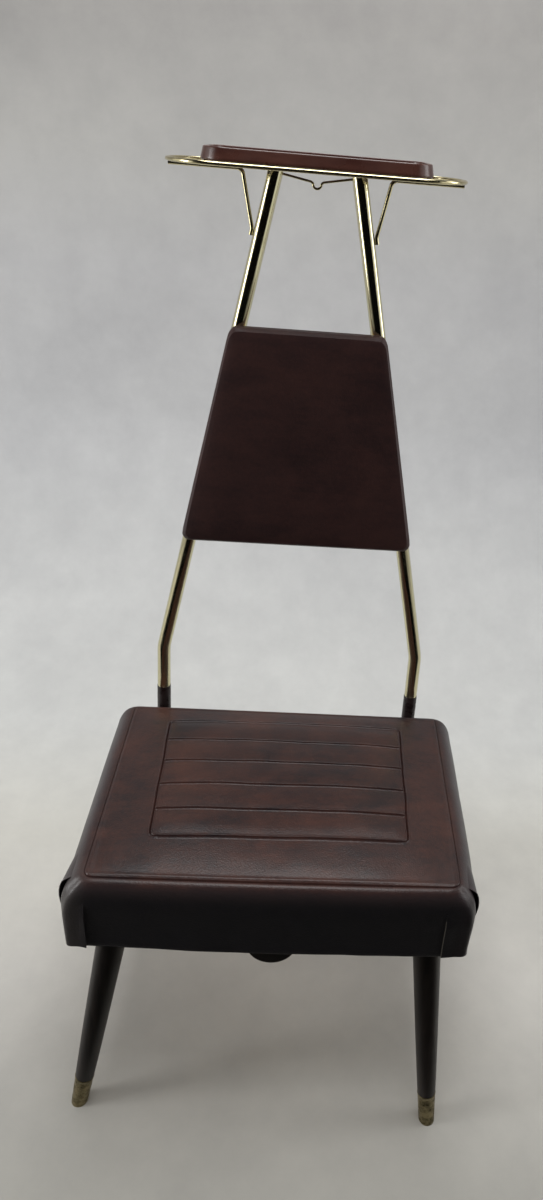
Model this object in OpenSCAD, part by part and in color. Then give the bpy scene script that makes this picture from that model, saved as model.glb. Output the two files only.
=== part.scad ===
// A clothes valet chair: a low padded seat with a lift-up lid over a shallow
// storage box, four splayed legs, and two bent brass tubes that carry a padded
// back, a wire hanger ring and a dished tray.
// Millimetres. Right is +X, the back is +Y, up is +Z, and the floor is Z = 0.

/* [Seat] */
// Width of the cushion between its top seams
seat_w = 434; // [380:2:480]
// Depth of the cushion between its top seams
seat_d = 317; // [290:1:360]
// Height of the cushion's top seam above the floor
seat_h = 372; // [350:1:400]
// Height of the cushion from its board to its top seam
cushion_h = 42; // [36:1:50]
// Rise of the middle of the cushion above its seam
crown = 12; // [4:1:18]
// How far the cushion's sides swell past the seam
side_swell = 28; // [22:1:32]
// How far the cushion's front swells past the seam
front_swell = 14; // [11:1:18]
// How far the cushion's back swells past the seam
back_swell = 6; // [4:0.5:8]
// Thickness of the lid's plywood board
board_t = 10; // [8:1:14]
// Overhang of the board past the side seams
board_side = 18; // [14:1:20]
// Overhang of the board past the front seam
board_front = 8.2; // [7:0.1:9]

/* [Sewn panel] */
// Width of the sewn rectangle on the cushion
panel_w = 318; // [260:2:340]
// Depth of the sewn rectangle
panel_d = 216; // [180:1:230]
// Distance from the front seam to the rectangle
panel_front = 64; // [50:1:80]
// Number of channels across the rectangle
channels = 5; // [3:1:7]
// Depth of a sewn line
sewn_depth = 1.6; // [0.8:0.1:2.5]
// Width of a sewn line
sewn_w = 7; // [4:1:10]

/* [Skirt] */
// Drop of the hem below the top seam
skirt_drop = 101; // [80:1:108]
// Thickness of the hanging skirt
skirt_t = 2; // [1.5:0.1:3]
// Width of the flap that wraps round each front corner
flap_w = 14; // [8:1:24]

/* [Storage box] */
// Setback of the box from each side seam
box_side = 5; // [4:0.5:20]
// Setback of the box behind the front seam
box_setback = 4; // [3:0.5:8]
// How far the box reaches past the rear seam
box_rear = 3; // [2:0.5:4]
// Height of the box with its floor
box_h = 44; // [36:1:60]
// Thickness of the box rails
rail_t = 16; // [12:1:20]
// Thickness of the box floor
floor_t = 8; // [5:1:12]
// Side of the triangular glue blocks
glue_block = 24; // [16:1:30]
// Distance of the glue blocks below the rails' top
glue_drop = 6; // [3:0.5:10]
// Gap between the lid board and the rails
lid_gap = 4; // [3:0.5:6]
// Diameter of the soft dots that the lid closes on
bumper_d = 9; // [6:1:12]

/* [Lift tab] */
// Radius of the rounded finger tab
tab_r = 30; // [22:1:36]
// Drop of the tab below the hem
tab_drop = 19; // [12:1:26]
// Thickness of the tab
tab_t = 10; // [7:0.5:11]

/* [Legs] */
// Diameter of a leg at the top
leg_top_d = 36; // [30:1:42]
// Diameter of a leg where it meets its ferrule
leg_low_d = 23; // [19:0.5:27]
// Diameter of a ferrule at the floor
foot_d = 20; // [17:0.5:24]
// Length of a ferrule along its leg
ferrule_l = 42; // [30:1:60]
// Thickness of a ferrule's brass
ferrule_t = 0.8; // [0.6:0.1:1.5]
// Thickness of a ferrule's solid foot
ferrule_foot = 6; // [3:0.5:8]
// Depth of a leg's bolt in the leg
bolt_in = 33; // [24:1:36]
// Tilt of each leg from upright
leg_tilt = 11; // [6:0.5:14]
// Turn of the front left leg, from straight forward towards the side
turn_front_left = 56; // [20:1:70]
// Turn of the front right leg
turn_front_right = 26; // [20:1:70]
// Turn of the two rear legs, from straight back towards the side
turn_rear = 45; // [20:1:70]
// Setback of a leg's centre from the box's edges
leg_inset = 22; // [20:1:30]
// Side of a square leg plate
plate_w = 42; // [38:1:44]
// Thickness of a leg plate
plate_t = 3; // [2:0.5:5]
// Distance of a plate's screws from its edges
plate_screw_in = 4; // [3.5:0.5:6]

/* [Uprights] */
// Diameter of the upright tubes
tube_d = 19; // [16:0.5:22]
// Wall of the upright tubes
tube_wall = 1.5; // [1:0.1:2.5]
// Distance of each tube's centre from the side of the box
tube_inset = 26; // [24:1:36]
// Half the distance between the tubes at the tray
tube_top_x = 50; // [40:1:70]
// Height of the bend in the tubes
bend_z = 457; // [430:1:520]
// Radius of the bend
bend_r = 60; // [40:5:100]
// Depth of the block between the box and a tube
block_t = 25; // [22:0.5:35]
// Width of the block
block_w = 34; // [28:1:40]
// Depth of the round seat that the block has for its tube
saddle = 4.5; // [3:0.5:6]
// Diameter of the bolts through the tubes
bolt_d = 6; // [5:0.5:7]

/* [Back] */
// Height of the back's lower edge above the floor
back_z = 641; // [600:1:700]
// Height of the back
back_h = 300; // [240:1:330]
// How far the back reaches past each tube's centre
back_over = 11; // [10:0.5:16]
// Radius of the back's corners
back_corner = 10; // [6:1:20]
// Thickness of the back's board
back_board_t = 6; // [4:0.5:9]
// Thickness of the back's padding
back_pad_t = 13; // [9:0.5:16]

/* [Ring and tray] */
// Height of the tray's underside above the floor
tray_z = 1136.5; // [1080:0.5:1180]
// Diameter of the ring's wire
wire_d = 5; // [4:0.5:7]
// Width of the ring over its wire
ring_w = 363; // [330:1:400]
// Depth of the ring over its wire
ring_d = 136; // [126:1:150]
// Radius of the ring's rounded ends, at the wire's centre
ring_corner = 62; // [45:1:62]
// Width of the tray at its base
tray_w = 272; // [220:2:290]
// Depth of the tray at its base
tray_d = 132; // [126:1:140]
// Height of the tray
tray_h = 15.5; // [12:0.5:25]
// Thickness of the tray's walls and floor
tray_wall = 3; // [2:0.5:4]
// How far each wall leans in towards the rim
tray_draft = 2.5; // [1:0.5:4]
// Radius of the tray's corners
tray_corner = 30; // [15:1:40]
// Width of the straps that carry the tray
strap_w = 14; // [10:1:18]
// Thickness of the straps
strap_t = 3; // [2:0.5:4]
// Distance of a brace's bend from the middle
brace_bend_x = 91; // [84:1:120]
// Drop of a brace's foot below the ring
brace_drop = 74; // [60:1:110]
// Length of a brace's foot along its tube
brace_foot = 8; // [5:1:20]
// Diameter of the hook's wire
hook_d = 3; // [2.5:0.5:4]
// Drop of the hook's shoulders below the ring
hook_drop = 14; // [10:1:20]
// Drop of the hook's round bottom below its shoulders
hook_dip = 8; // [6:0.5:10]
// Radius of the hook's round bottom, at the wire's centre
hook_r = 5; // [4:0.5:7]

/* [Hinges] */
// Gap between the back of the cushion and the hinge knuckles
hinge_gap = 1.5; // [1:0.1:2.5]
// Distance of the hinge pins below the top seam
pin_below = 16; // [13:0.5:17]
// Diameter of the hinge pins
pin_d = 5; // [4:0.5:6]
// Thickness of the hinge leaves
leaf_t = 1.6; // [1.2:0.1:1.8]
// Length of the leaf under the lid's board
leaf_l = 34; // [26:1:45]
// Distance of each hinge from the middle
hinge_x = 105; // [80:1:130]
// Width of the middle knuckle
knuckle_w = 16; // [12:1:24]
// Width of each outer knuckle
ear_w = 12; // [8:1:18]

/* [Hidden] */
$fn = 48;

vinyl = "#463736";
dark_vinyl = "#1f1c1d";
back_vinyl = "#2a1d1f";
walnut = "#241a17";
plywood = "#b08d5e";
brass = "#c9b26a";
aged_brass = "#6b6543";
steel = "#8b8d8f";
tray_brown = "#3d2222";
rubber = "#1a1a1a";

hair = 0.02;      // clearance of a pin in the ears that hold it still
running = 0.05;   // clearance of a pin in the knuckle that turns on it
bolt_gap = 0.1;   // clearance of bolts and screws in their holes
over = 1;         // how far a cutting shape passes the face it cuts

// Levels, from the seam down
board_top = seat_h - cushion_h;
board_low = board_top - board_t;
rail_top = board_low - lid_gap;
box_low = rail_top - box_h;
floor_top = box_low + floor_t;
hem_z = seat_h - skirt_drop;
leg_top = box_low - plate_t;

// The box in plan
box_w = seat_w - 2 * box_side;
box_d = seat_d + box_rear - box_setback;
box_front = box_setback;
box_back = box_setback + box_d;
board_back = seat_d + 1;
board_half = seat_w / 2 + board_side;

// The tubes
tube_foot_x = box_w / 2 - tube_inset;
tube_r = tube_d / 2;
tube_y = box_back + block_t + tube_r - saddle;
tube_top_z = tray_z - strap_t;
tube_low_z = box_low;
lean = atan((tube_foot_x - tube_top_x) / (tube_top_z - bend_z));
bolt_z = [box_low + 0.3 * box_h, box_low + 0.72 * box_h];
function tube_x(z) = tube_foot_x - (z - bend_z) * tan(lean);

// The back
back_face_y = tube_y - tube_r;
back_screw_z = [back_z + 0.2 * back_h, back_z + 0.8 * back_h];
screw_d = 4;

// The ring, the tray and the wires
wire_r = wire_d / 2;
ring_z = tray_z - wire_r;
ring_half_x = ring_w / 2 - wire_r;
ring_half_y = ring_d / 2 - wire_r;
cross_x = tray_w / 2 - 6;
cross_in = max(cross_x + wire_r - (ring_half_x - ring_corner), 0);
cross_end = ring_half_y - ring_corner + sqrt(pow(ring_corner - wire_r, 2) - pow(cross_in, 2)) + hair;
brace_z = ring_z - wire_d;
shoulder_z = ring_z - hook_drop;

// The hinge line
knuckle_r = pin_d / 2 + 2;
pin_y = seat_d + back_swell + hinge_gap + knuckle_r;
pin_z = seat_h - pin_below;

// The legs
leg_l = leg_top / cos(leg_tilt);
leg_run = leg_top * tan(leg_tilt);
leg_x = box_w / 2 - leg_inset;
leg_front_y = box_front + leg_inset;
leg_back_y = box_back - leg_inset;

// The whole chair stands with the middle of its plan on the origin
front_reach = leg_front_y - leg_run * cos(turn_front_right) - foot_d / 2 / cos(leg_tilt);
back_reach = tube_y + ring_d / 2;
mid_y = (front_reach + back_reach) / 2;
echo(mid_y = mid_y, pin_y = pin_y - mid_y, pin_z = pin_z, tube_y = tube_y - mid_y);
module place() translate([0, -mid_y, 0]) children();

// ---- shared shapes ----

// A rectangle with round corners, drawn about its middle
module rounded(w, d, r) {
  square([w - 2 * r, d], center = true);
  square([w, d - 2 * r], center = true);
  for (x = [-1, 1], y = [-1, 1]) translate([x * (w / 2 - r), y * (d / 2 - r)]) circle(r);
}

// A box between two corners
module block(low, high) translate(low) cube(high - low);

// A round bar from one point to another
module bar(from, to, d) {
  run = to - from;
  l = norm(run);
  translate(from) rotate([0, acos(run[2] / l), atan2(run[1], run[0])]) cylinder(h = l, d = d);
}

// A wire bent in one upright plane. Each point is [x, z, bend radius].
function flat(p) = [p[0], p[1]];
function way(a, b) = (flat(b) - flat(a)) / norm(flat(b) - flat(a));
function heading(v) = atan2(v[1], v[0]);
function turn(w, i) = let (t = heading(way(w[i], w[i + 1])) - heading(way(w[i - 1], w[i])))
  t > 180 ? t - 360 : t < -180 ? t + 360 : t;
// Length of straight wire that the bend at a point takes up
function bend_take(w, i) = i == 0 || i == len(w) - 1 ? 0 : w[i][2] * tan(abs(turn(w, i)) / 2);

// The wire's stations, each [x, z, heading]: its ends, and an arc of them at each bend
function arc(w, i, steps) = let (
    by = turn(w, i), side = sign(by), ahead = heading(way(w[i - 1], w[i])),
    from = flat(w[i]) - way(w[i - 1], w[i]) * bend_take(w, i),
    middle = from + w[i][2] * [cos(ahead + 90 * side), sin(ahead + 90 * side)])
  [for (k = [0:steps]) let (now = ahead + by * k / steps)
    [middle[0] - side * w[i][2] * cos(now + 90), middle[1] - side * w[i][2] * sin(now + 90), now]];
function stations(w, steps) = let (last = len(w) - 1) concat(
  [[w[0][0], w[0][1], heading(way(w[0], w[1]))]],
  [for (i = [1:last - 1]) each arc(w, i, steps)],
  [[w[last][0], w[last][1], heading(way(w[last - 1], w[last]))]]);

// A round bar bent along the wire's stations, as one closed skin
module bent_bar(w, r, sides, steps) {
  at = stations(w, steps);
  n = len(at);
  points = [for (p = at, k = [0:sides - 1]) let (a = 360 * k / sides)
    [p[0] - r * cos(a) * sin(p[2]), r * sin(a), p[1] + r * cos(a) * cos(p[2])]];
  skin = [for (i = [0:n - 2], k = [0:sides - 1]) let (next = (k + 1) % sides)
    [i * sides + k, i * sides + next, (i + 1) * sides + next, (i + 1) * sides + k]];
  ends = [[for (k = [sides - 1:-1:0]) k], [for (k = [0:sides - 1]) (n - 1) * sides + k]];
  polyhedron(points, concat(skin, ends), convexity = 4);
}

module both_sides() for (side = [0, 1]) mirror([side, 0, 0]) children();

// ---- the box ----

module box_floor() color(plywood) place() difference() {
  block([-box_w / 2, box_front, box_low], [box_w / 2, box_back, floor_top]);
  leg_holes(bolt_d / 2 + bolt_gap);
}

module rail_x(y, name_color) color(name_color)
  block([-box_w / 2, y, floor_top], [box_w / 2, y + rail_t, rail_top]);

module front_rail() place() rail_x(box_front, walnut);

module rear_rail() place() difference() {
  rail_x(box_back - rail_t, walnut);
  upright_bolt_holes();
}

module side_rail() color(walnut)
  block([box_w / 2 - rail_t, box_front + rail_t, floor_top], [box_w / 2, box_back - rail_t, rail_top]);
module side_rail_left() place() mirror([1, 0, 0]) side_rail();
module side_rail_right() place() side_rail();

// Three-cornered blocks glued into the front corners of the box. The tubes' bolts hold the rear ones.
module glue_blocks() color(plywood) place() both_sides()
  translate([box_w / 2 - rail_t, box_front + rail_t, floor_top]) linear_extrude(box_h - floor_t - glue_drop)
    polygon([[0, 0], [-glue_block, 0], [0, glue_block]]);

// Soft dots that the lid closes on
module lid_bumpers() color(rubber) place() both_sides()
  for (x = [box_w / 2 - rail_t - glue_block / 2, 2 * tab_r]) translate([x, box_front + rail_t / 2, rail_top])
    cylinder(h = lid_gap - 0.5, d = bumper_d);

// ---- the legs ----

// Moves a leg drawn straight down from the origin to its place under the box
module at_leg(x, y, heading) translate([x, y, leg_top]) rotate([0, 0, heading])
  rotate([0, leg_tilt, 0]) children();

// x, y and the direction that each foot goes in
leg_fl = [-leg_x, leg_front_y, 90 - turn_front_left];
leg_fr = [leg_x, leg_front_y, 90 + turn_front_right];
leg_rl = [-leg_x, leg_back_y, -90 + turn_rear];
leg_rr = [leg_x, leg_back_y, -90 - turn_rear];
all_legs = [leg_fl, leg_fr, leg_rl, leg_rr];

module leg_holes(r) for (p = all_legs) at_leg(p[0], p[1], p[2]) cylinder(h = 60, r = r, center = true);

// Radius of the turned leg at a share s of its length from the top
function leg_r(s) = leg_low_d / 2 + (leg_top_d - leg_low_d) / 2 * pow(1 - s, 0.85);

module leg(p) color(walnut) place() difference() {
  at_leg(p[0], p[1], p[2]) difference() {
    wood_l = leg_l - ferrule_l;
    rotate_extrude() polygon(concat(
      [[0, leg_top_d], [leg_top_d / 2, leg_top_d]],
      [for (i = [0:5]) [leg_r(i / 5), -wood_l * i / 5]],
      [[leg_low_d / 2 - ferrule_t, -wood_l], [foot_d / 2 - ferrule_t, ferrule_foot - leg_l], [0, ferrule_foot - leg_l]]));
    translate([0, 0, -bolt_in - over]) cylinder(h = 2 * bolt_in, r = bolt_d / 2 + bolt_gap);
  }
  translate([p[0], p[1], leg_top]) cylinder(h = 100, r = 60);
}
module leg_front_left() leg(leg_fl);
module leg_front_right() leg(leg_fr);
module leg_rear_left() leg(leg_rl);
module leg_rear_right() leg(leg_rr);

// A drawn brass cup on the end of a leg, cut flat where it stands
module ferrule(p) color(aged_brass) place() difference() {
  at_leg(p[0], p[1], p[2]) rotate_extrude() polygon([
    [leg_low_d / 2 - ferrule_t, -leg_l + ferrule_l], [leg_low_d / 2, -leg_l + ferrule_l],
    [foot_d / 2, -leg_l], [foot_d / 2, -leg_l - ferrule_foot], [0, -leg_l - ferrule_foot], [0, ferrule_foot - leg_l],
    [foot_d / 2 - ferrule_t, ferrule_foot - leg_l]]);
  translate([0, 0, -50]) cube([2000, 2000, 100], center = true);
}
module ferrule_front_left() ferrule(leg_fl);
module ferrule_front_right() ferrule(leg_fr);
module ferrule_rear_left() ferrule(leg_rl);
module ferrule_rear_right() ferrule(leg_rr);

plate_screw_r = 2;
module at_plate_screws() for (p = all_legs, x = [-1, 1], y = [-1, 1])
  translate([p[0] + x * (plate_w / 2 - plate_screw_in), p[1] + y * (plate_w / 2 - plate_screw_in), box_low]) children();

module leg_plates() color(steel) place() difference() {
  for (p = all_legs) translate([p[0], p[1], leg_top]) linear_extrude(plate_t) rounded(plate_w, plate_w, 4);
  leg_holes(bolt_d / 2 + bolt_gap);
  at_plate_screws() cylinder(h = 3 * plate_t, r = plate_screw_r + bolt_gap, center = true);
}

// Screws up through the plates, with their heads below
module plate_screws() color(steel) place() at_plate_screws() {
  translate([0, 0, -plate_t]) cylinder(h = plate_t, r = plate_screw_r);
  translate([0, 0, -plate_t - 1.5]) cylinder(h = 1.5, r1 = plate_screw_r, r2 = plate_screw_r + 1.6);
}

// Long bolts from the floor of the box down into the legs
module hanger_bolts() color(steel) place() for (p = all_legs) at_leg(p[0], p[1], p[2])
  translate([0, 0, -bolt_in]) cylinder(h = bolt_in + plate_t + floor_t / 4, r = bolt_d / 2);

// ---- the uprights ----

module upright_bolt_holes() both_sides() for (z = bolt_z)
  translate([tube_foot_x, box_back - rail_t - over, z]) rotate([-90, 0, 0])
    cylinder(h = 2 * tube_y, r = bolt_d / 2 + bolt_gap);

// Blocks that space the tubes off the box, hollowed to the tube
module upright_blocks() color(walnut) place() difference() {
  both_sides() block([tube_foot_x - block_w / 2, box_back, box_low],
                     [tube_foot_x + block_w / 2, box_back + block_t, rail_top]);
  both_sides() translate([tube_foot_x, tube_y, box_low - over]) cylinder(h = box_h + 2 * over, r = tube_r);
  upright_bolt_holes();
}

// The right tube's course: upright, bent and leaning in, past both its ends by the given length
function tube_path(past) = [
  [tube_foot_x, tube_low_z - past], [tube_foot_x, bend_z, bend_r],
  [tube_x(tube_top_z + tube_d + past), tube_top_z + tube_d + past]];
tube_sides = 32;
module tube_shape(r, past) translate([0, tube_y, 0]) bent_bar(tube_path(past), r, tube_sides, 4);

module upright() color(brass) difference() {
  tube_shape(tube_r, 0);
  tube_shape(tube_r - tube_wall, over);
  block([0, 0, tube_top_z], [2 * tube_foot_x, 2 * tube_y, tube_top_z + 4 * tube_d]);
  upright_bolt_holes();
  back_screw_holes(screw_d / 2 + bolt_gap);
}
module upright_left() place() mirror([1, 0, 0]) upright();
module upright_right() place() upright();

// Round-headed bolts through tube, block and rail
module upright_bolts() color(brass) place() both_sides() for (z = bolt_z) translate([tube_foot_x, 0, z]) {
  translate([0, box_back - rail_t - 8, 0]) rotate([-90, 0, 0])
    cylinder(h = tube_y + tube_r - box_back + rail_t + 8, r = bolt_d / 2);
  translate([0, tube_y + tube_r, 0]) rotate([-90, 0, 0]) cylinder(h = 3.5, r1 = bolt_d, r2 = bolt_d * 0.6);
}

module bolt_nuts() color(steel) place() both_sides() for (z = bolt_z)
  translate([tube_foot_x, box_back - rail_t, z]) rotate([90, 0, 0]) difference() {
    cylinder(h = 5, d = bolt_d * 1.8, $fn = 6);
    translate([0, 0, -over]) cylinder(h = 5 + 2 * over, r = bolt_d / 2 + hair);
  }

// Plugs that close the open lower ends of the tubes
module tube_plugs() color(rubber) place() both_sides() translate([tube_foot_x, tube_y, tube_low_z]) {
  cylinder(h = 9, r = (tube_r - tube_wall) * cos(180 / tube_sides) - hair);
  translate([0, 0, -2]) cylinder(h = 2, r = tube_r);
}

// ---- the back ----

// The back's outline, seen from the front and drawn in by an inset
module back_outline(inset) hull() for (side = [-1, 1]) {
  top = back_z + back_h;
  translate([side * (tube_x(back_z) + back_over - back_corner / cos(lean) - inset), back_z + back_corner])
    circle(max(back_corner - inset, 1), $fn = 32);
  translate([side * (tube_x(top) + back_over - back_corner / cos(lean) - inset), top - back_corner])
    circle(max(back_corner - inset, 1), $fn = 32);
}

// Stands a flat shape up, with its face towards the front at a distance from the tubes
module stand_up(y, t) translate([0, y, 0]) rotate([90, 0, 0]) linear_extrude(t) children();

module back_screw_holes(r) both_sides() for (z = back_screw_z)
  translate([tube_x(z), back_face_y - 0.7 * back_board_t, z]) rotate([-90, 0, 0]) cylinder(h = 60, r = r);

module back_board() color(plywood) place() difference() {
  stand_up(back_face_y, back_board_t) back_outline(2);
  back_screw_holes(screw_d / 2 + bolt_gap);
}

// The padded face, softly crowned, with its cover drawn round the edge
module back_pad() color(back_vinyl) place() hull() {
  y = back_face_y - back_board_t;
  stand_up(y, back_pad_t * 0.45) back_outline(0);
  stand_up(y, back_pad_t * 0.8) back_outline(4);
  stand_up(y, back_pad_t) back_outline(22);
}

// Round-headed screws from behind, through the tubes
module back_screws() color(brass) place() both_sides() for (z = back_screw_z) translate([tube_x(z), 0, z]) {
  translate([0, back_face_y - 0.6 * back_board_t, 0]) rotate([-90, 0, 0])
    cylinder(h = tube_d + 0.6 * back_board_t, r = screw_d / 2);
  translate([0, tube_y + tube_r, 0]) rotate([-90, 0, 0]) cylinder(h = 2.5, r1 = screw_d, r2 = screw_d * 0.6);
}

// ---- the ring, its wires and the tray ----

module ring_shape() translate([0, tube_y, ring_z]) for (side = [-1, 1]) {
  bar([-(ring_half_x - ring_corner), side * ring_half_y, 0], [ring_half_x - ring_corner, side * ring_half_y, 0], wire_d);
  if (ring_half_y > ring_corner)
    bar([side * ring_half_x, -(ring_half_y - ring_corner), 0], [side * ring_half_x, ring_half_y - ring_corner, 0], wire_d);
  for (y = [-1, 1]) translate([side * (ring_half_x - ring_corner), y * (ring_half_y - ring_corner), 0])
    rotate([0, 0, side > 0 ? (y > 0 ? 0 : -90) : (y > 0 ? 90 : 180)])
      rotate_extrude(angle = 90) translate([ring_corner, 0]) circle(wire_r);
}

module hanger_ring() color(brass) place() ring_shape();

// Two wires from strand to strand, under the ends of the tray
module cross_wires() color(brass) place() for (x = [-cross_x, cross_x])
  bar([x, tube_y - cross_end, ring_z], [x, tube_y + cross_end, ring_z], wire_d);

tray_screw_y = ring_half_y * 0.55;
module tray_screw_spots() for (side = [-1, 1], y = [-1, 1])
  translate([side * tube_x(tube_top_z), tube_y + y * tray_screw_y, tray_z]) children();

// Flat straps across the ring, on the ends of the tubes
module tray_straps() color(brass) place() difference() {
  for (side = [-1, 1]) translate([side * tube_x(tube_top_z), tube_y, tube_top_z + strap_t / 2])
    cube([strap_w, 2 * ring_half_y, strap_t], center = true);
  ring_shape();
  tray_screw_spots() cylinder(h = 3 * strap_t, r = 1.5 + bolt_gap, center = true);
}

module tray_screws() color(steel) place() tray_screw_spots() {
  translate([0, 0, -strap_t]) cylinder(h = strap_t + 0.6 * tray_wall, r = 1.5);
  translate([0, 0, -strap_t - 1.5]) cylinder(h = 1.5, r1 = 1.5, r2 = 3);
}

// Braces: along under the ring, then down, and welded alongside the tube
module brace() color(brass) {
  foot_z = ring_z - brace_drop;
  beside = (tube_r + wire_r) / cos(lean) + hair;
  translate([0, tube_y, 0]) bent_bar([
    [ring_half_x, brace_z], [brace_bend_x, brace_z, 8],
    [tube_x(foot_z) + beside, foot_z, 12], [tube_x(foot_z - brace_foot) + beside, foot_z - brace_foot]], wire_r, 12, 5);
}
module brace_left() place() mirror([1, 0, 0]) brace();
module brace_right() place() brace();

// A thin wire between the tubes with a small hook for a hanger at its middle
hook_end_z = ring_z - 6;
hook_end_x = tube_x(hook_end_z) - (tube_r + 0.1) * cos(lean);
hook_low = shoulder_z - hook_dip;
hook_path = [
  [hook_end_x, hook_end_z - tube_r * sin(lean)], [hook_r + 3, shoulder_z, 2.5], [hook_r, hook_low + hook_r + 1, 2],
  [hook_r, hook_low, hook_r * 0.98]];
function mirrored(path) = [for (i = [len(path) - 1:-1:0]) [-path[i][0], path[i][1], path[i][2]]];
module hook_wire() color(brass) place() translate([0, tube_y, 0])
  bent_bar(concat(hook_path, mirrored(hook_path)), hook_d / 2, 10, 4);

// A shallow dish with leaning walls and round corners
module tray_slab(inset, z, t) translate([0, tube_y, z]) linear_extrude(t)
  rounded(tray_w - 2 * inset, tray_d - 2 * inset, tray_corner - inset);

module tray() color(tray_brown) place() difference() {
  hull() {
    tray_slab(1.5, tray_z, 1);
    tray_slab(0, tray_z + 2, 0.5);
    tray_slab(tray_draft, tray_z + tray_h - 1, 0.5);
    tray_slab(tray_draft + 0.6, tray_z + tray_h - 0.3, 0.3);
  }
  hull() {
    tray_slab(tray_wall + 2, tray_z + tray_wall, 0.5);
    tray_slab(tray_wall, tray_z + tray_wall + 2, 0.5);
    tray_slab(tray_draft + tray_wall * 0.8, tray_z + tray_h, over);
  }
  tray_screw_spots() translate([0, 0, -over]) cylinder(h = over + 0.7 * tray_wall, r = 1.5 + bolt_gap);
}

// ---- the hinges ----

module at_hinges() for (side = [-1, 1]) translate([side * hinge_x, 0, 0]) children();

// Extrudes a shape drawn in Y and Z along X, between two places
module along_x(from, to) translate([from, 0, 0]) rotate([90, 0, 90]) linear_extrude(to - from) children();

// The fixed half: a leaf on the rear rail, cranked back and up to the pin
module hinge_brackets() color(steel) place() at_hinges() difference() {
  union() {
    along_x(-knuckle_w / 2 - ear_w, knuckle_w / 2 + ear_w) polygon([
      [box_back, floor_top + 4], [box_back + leaf_t, floor_top + 4],
      [box_back + leaf_t, rail_top - 8], [box_back, rail_top - 8]]);
    for (side = [-1, 1]) mirror([side < 0 ? 1 : 0, 0, 0]) along_x(knuckle_w / 2 + 0.4, knuckle_w / 2 + ear_w) {
      polygon([
        [box_back, rail_top - 12], [box_back + leaf_t, rail_top - 12], [pin_y + leaf_t / 2, rail_top - 2],
        [pin_y + leaf_t / 2, pin_z], [pin_y - leaf_t / 2, pin_z], [pin_y - leaf_t / 2, rail_top - 1],
        [box_back, rail_top - 9]]);
      translate([pin_y, pin_z]) circle(knuckle_r);
    }
  }
  along_x(-100, 100) translate([pin_y, pin_z]) circle(pin_d / 2 + hair);
}

module hinge_pins() color(steel) place() at_hinges()
  along_x(-knuckle_w / 2 - ear_w - 1, knuckle_w / 2 + ear_w + 1) translate([pin_y, pin_z]) circle(pin_d / 2);

// The moving half: under the lid's board, up its back and out to the pin
leaf_y = seat_d + back_swell + hinge_gap / 2;
module hinge_leaves() color(steel) place() at_hinges() difference() {
  along_x(-knuckle_w / 2, knuckle_w / 2) {
    polygon([
      [board_back - leaf_l, board_low - leaf_t], [leaf_y + leaf_t, board_low - leaf_t],
      [leaf_y + leaf_t, pin_z - 3], [pin_y, pin_z - 2], [pin_y, pin_z + 1],
      [leaf_y, pin_z - 1], [leaf_y, board_low], [board_back - leaf_l, board_low]]);
    translate([pin_y, pin_z]) circle(knuckle_r);
  }
  along_x(-100, 100) translate([pin_y, pin_z]) circle(pin_d / 2 + running);
}

// ---- the lid ----

module seat_board() color(plywood) place()
  translate([0, (board_back - board_front) / 2, board_low]) linear_extrude(board_t)
    rounded(2 * board_half, board_back + board_front, 10);

// Lines of the cushion's grid, with a line in the middle and at both edges of each sewn line
panel_lines = [for (i = [0:channels]) panel_front + i * panel_d / channels];
half_lines = [0, panel_w / 6, panel_w / 3, panel_w / 2 - sewn_w / 2, panel_w / 2, panel_w / 2 + sewn_w / 2, seat_w / 2 - 14, seat_w / 2];
grid_x = concat([for (i = [len(half_lines) - 1:-1:1]) -half_lines[i]], half_lines);
grid_y = concat([0, 14, panel_front / 2],
  [for (i = [0:channels]) for (k = [-1, 0, 1, 2]) if (k < 2 || i < channels)
    panel_lines[i] + (k < 2 ? k * sewn_w / 2 : panel_d / channels / 2)],
  [(panel_front + panel_d + seat_d) / 2, seat_d - 14, seat_d]);
corner_r = 12;

function sewn(x, y) =
  abs(x) > panel_w / 2 + 0.01 || y < panel_front - 0.01 || y > panel_front + panel_d + 0.01 ? 0 :
  abs(abs(x) - panel_w / 2) < 0.01 ? sewn_depth :
  min([for (line = panel_lines) abs(y - line)]) < 0.01 ? sewn_depth : 0;
// Height of the crowned top: full in the middle and drawn in at the seam
function top_z(x, y) =
  seat_h + crown * pow(1 - pow(abs(2 * x / seat_w), 3), 0.8) * pow(1 - pow(abs(2 * y / seat_d - 1), 3), 0.8) - sewn(x, y);

// A seam point, its corner rounded, and the way that it faces
function core(p) = [
  max(min(p[0], seat_w / 2 - corner_r), corner_r - seat_w / 2),
  max(min(p[1], seat_d - corner_r), corner_r)];
function facing(p) = (p - core(p)) / norm(p - core(p));
function swell(n) = [n[0] * side_swell, n[1] * (n[1] < 0 ? front_swell : back_swell)];

// Share of the swell, and share of the height below the seam, of each ring of the side
side_rings = [[0.42, 0.03], [0.8, 0.18], [1, 0.5], [0.97, 0.72], [0.8, 1]];

// The grid's rim, walked round once: each entry is a column and a row
nx = len(grid_x);
ny = len(grid_y);
rim = concat(
  [for (i = [0:nx - 2]) [i, 0]], [for (j = [0:ny - 2]) [nx - 1, j]],
  [for (i = [nx - 1:-1:1]) [i, ny - 1]], [for (j = [ny - 1:-1:1]) [0, j]]);
rim_n = len(rim);
function on_rim(i, j) = i == 0 || j == 0 || i == nx - 1 || j == ny - 1;
function seam_point(p) = core(p) + corner_r * facing(p);
function side_point(p, share) = seam_point(p) + share * swell(facing(p));
// Index of a point k steps round the seam (level 0) or round one of the side's rings
function spot(level, k) = level == 0
  ? rim[k % rim_n][1] * nx + rim[k % rim_n][0]
  : nx * ny + (level - 1) * rim_n + k % rim_n;

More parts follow.
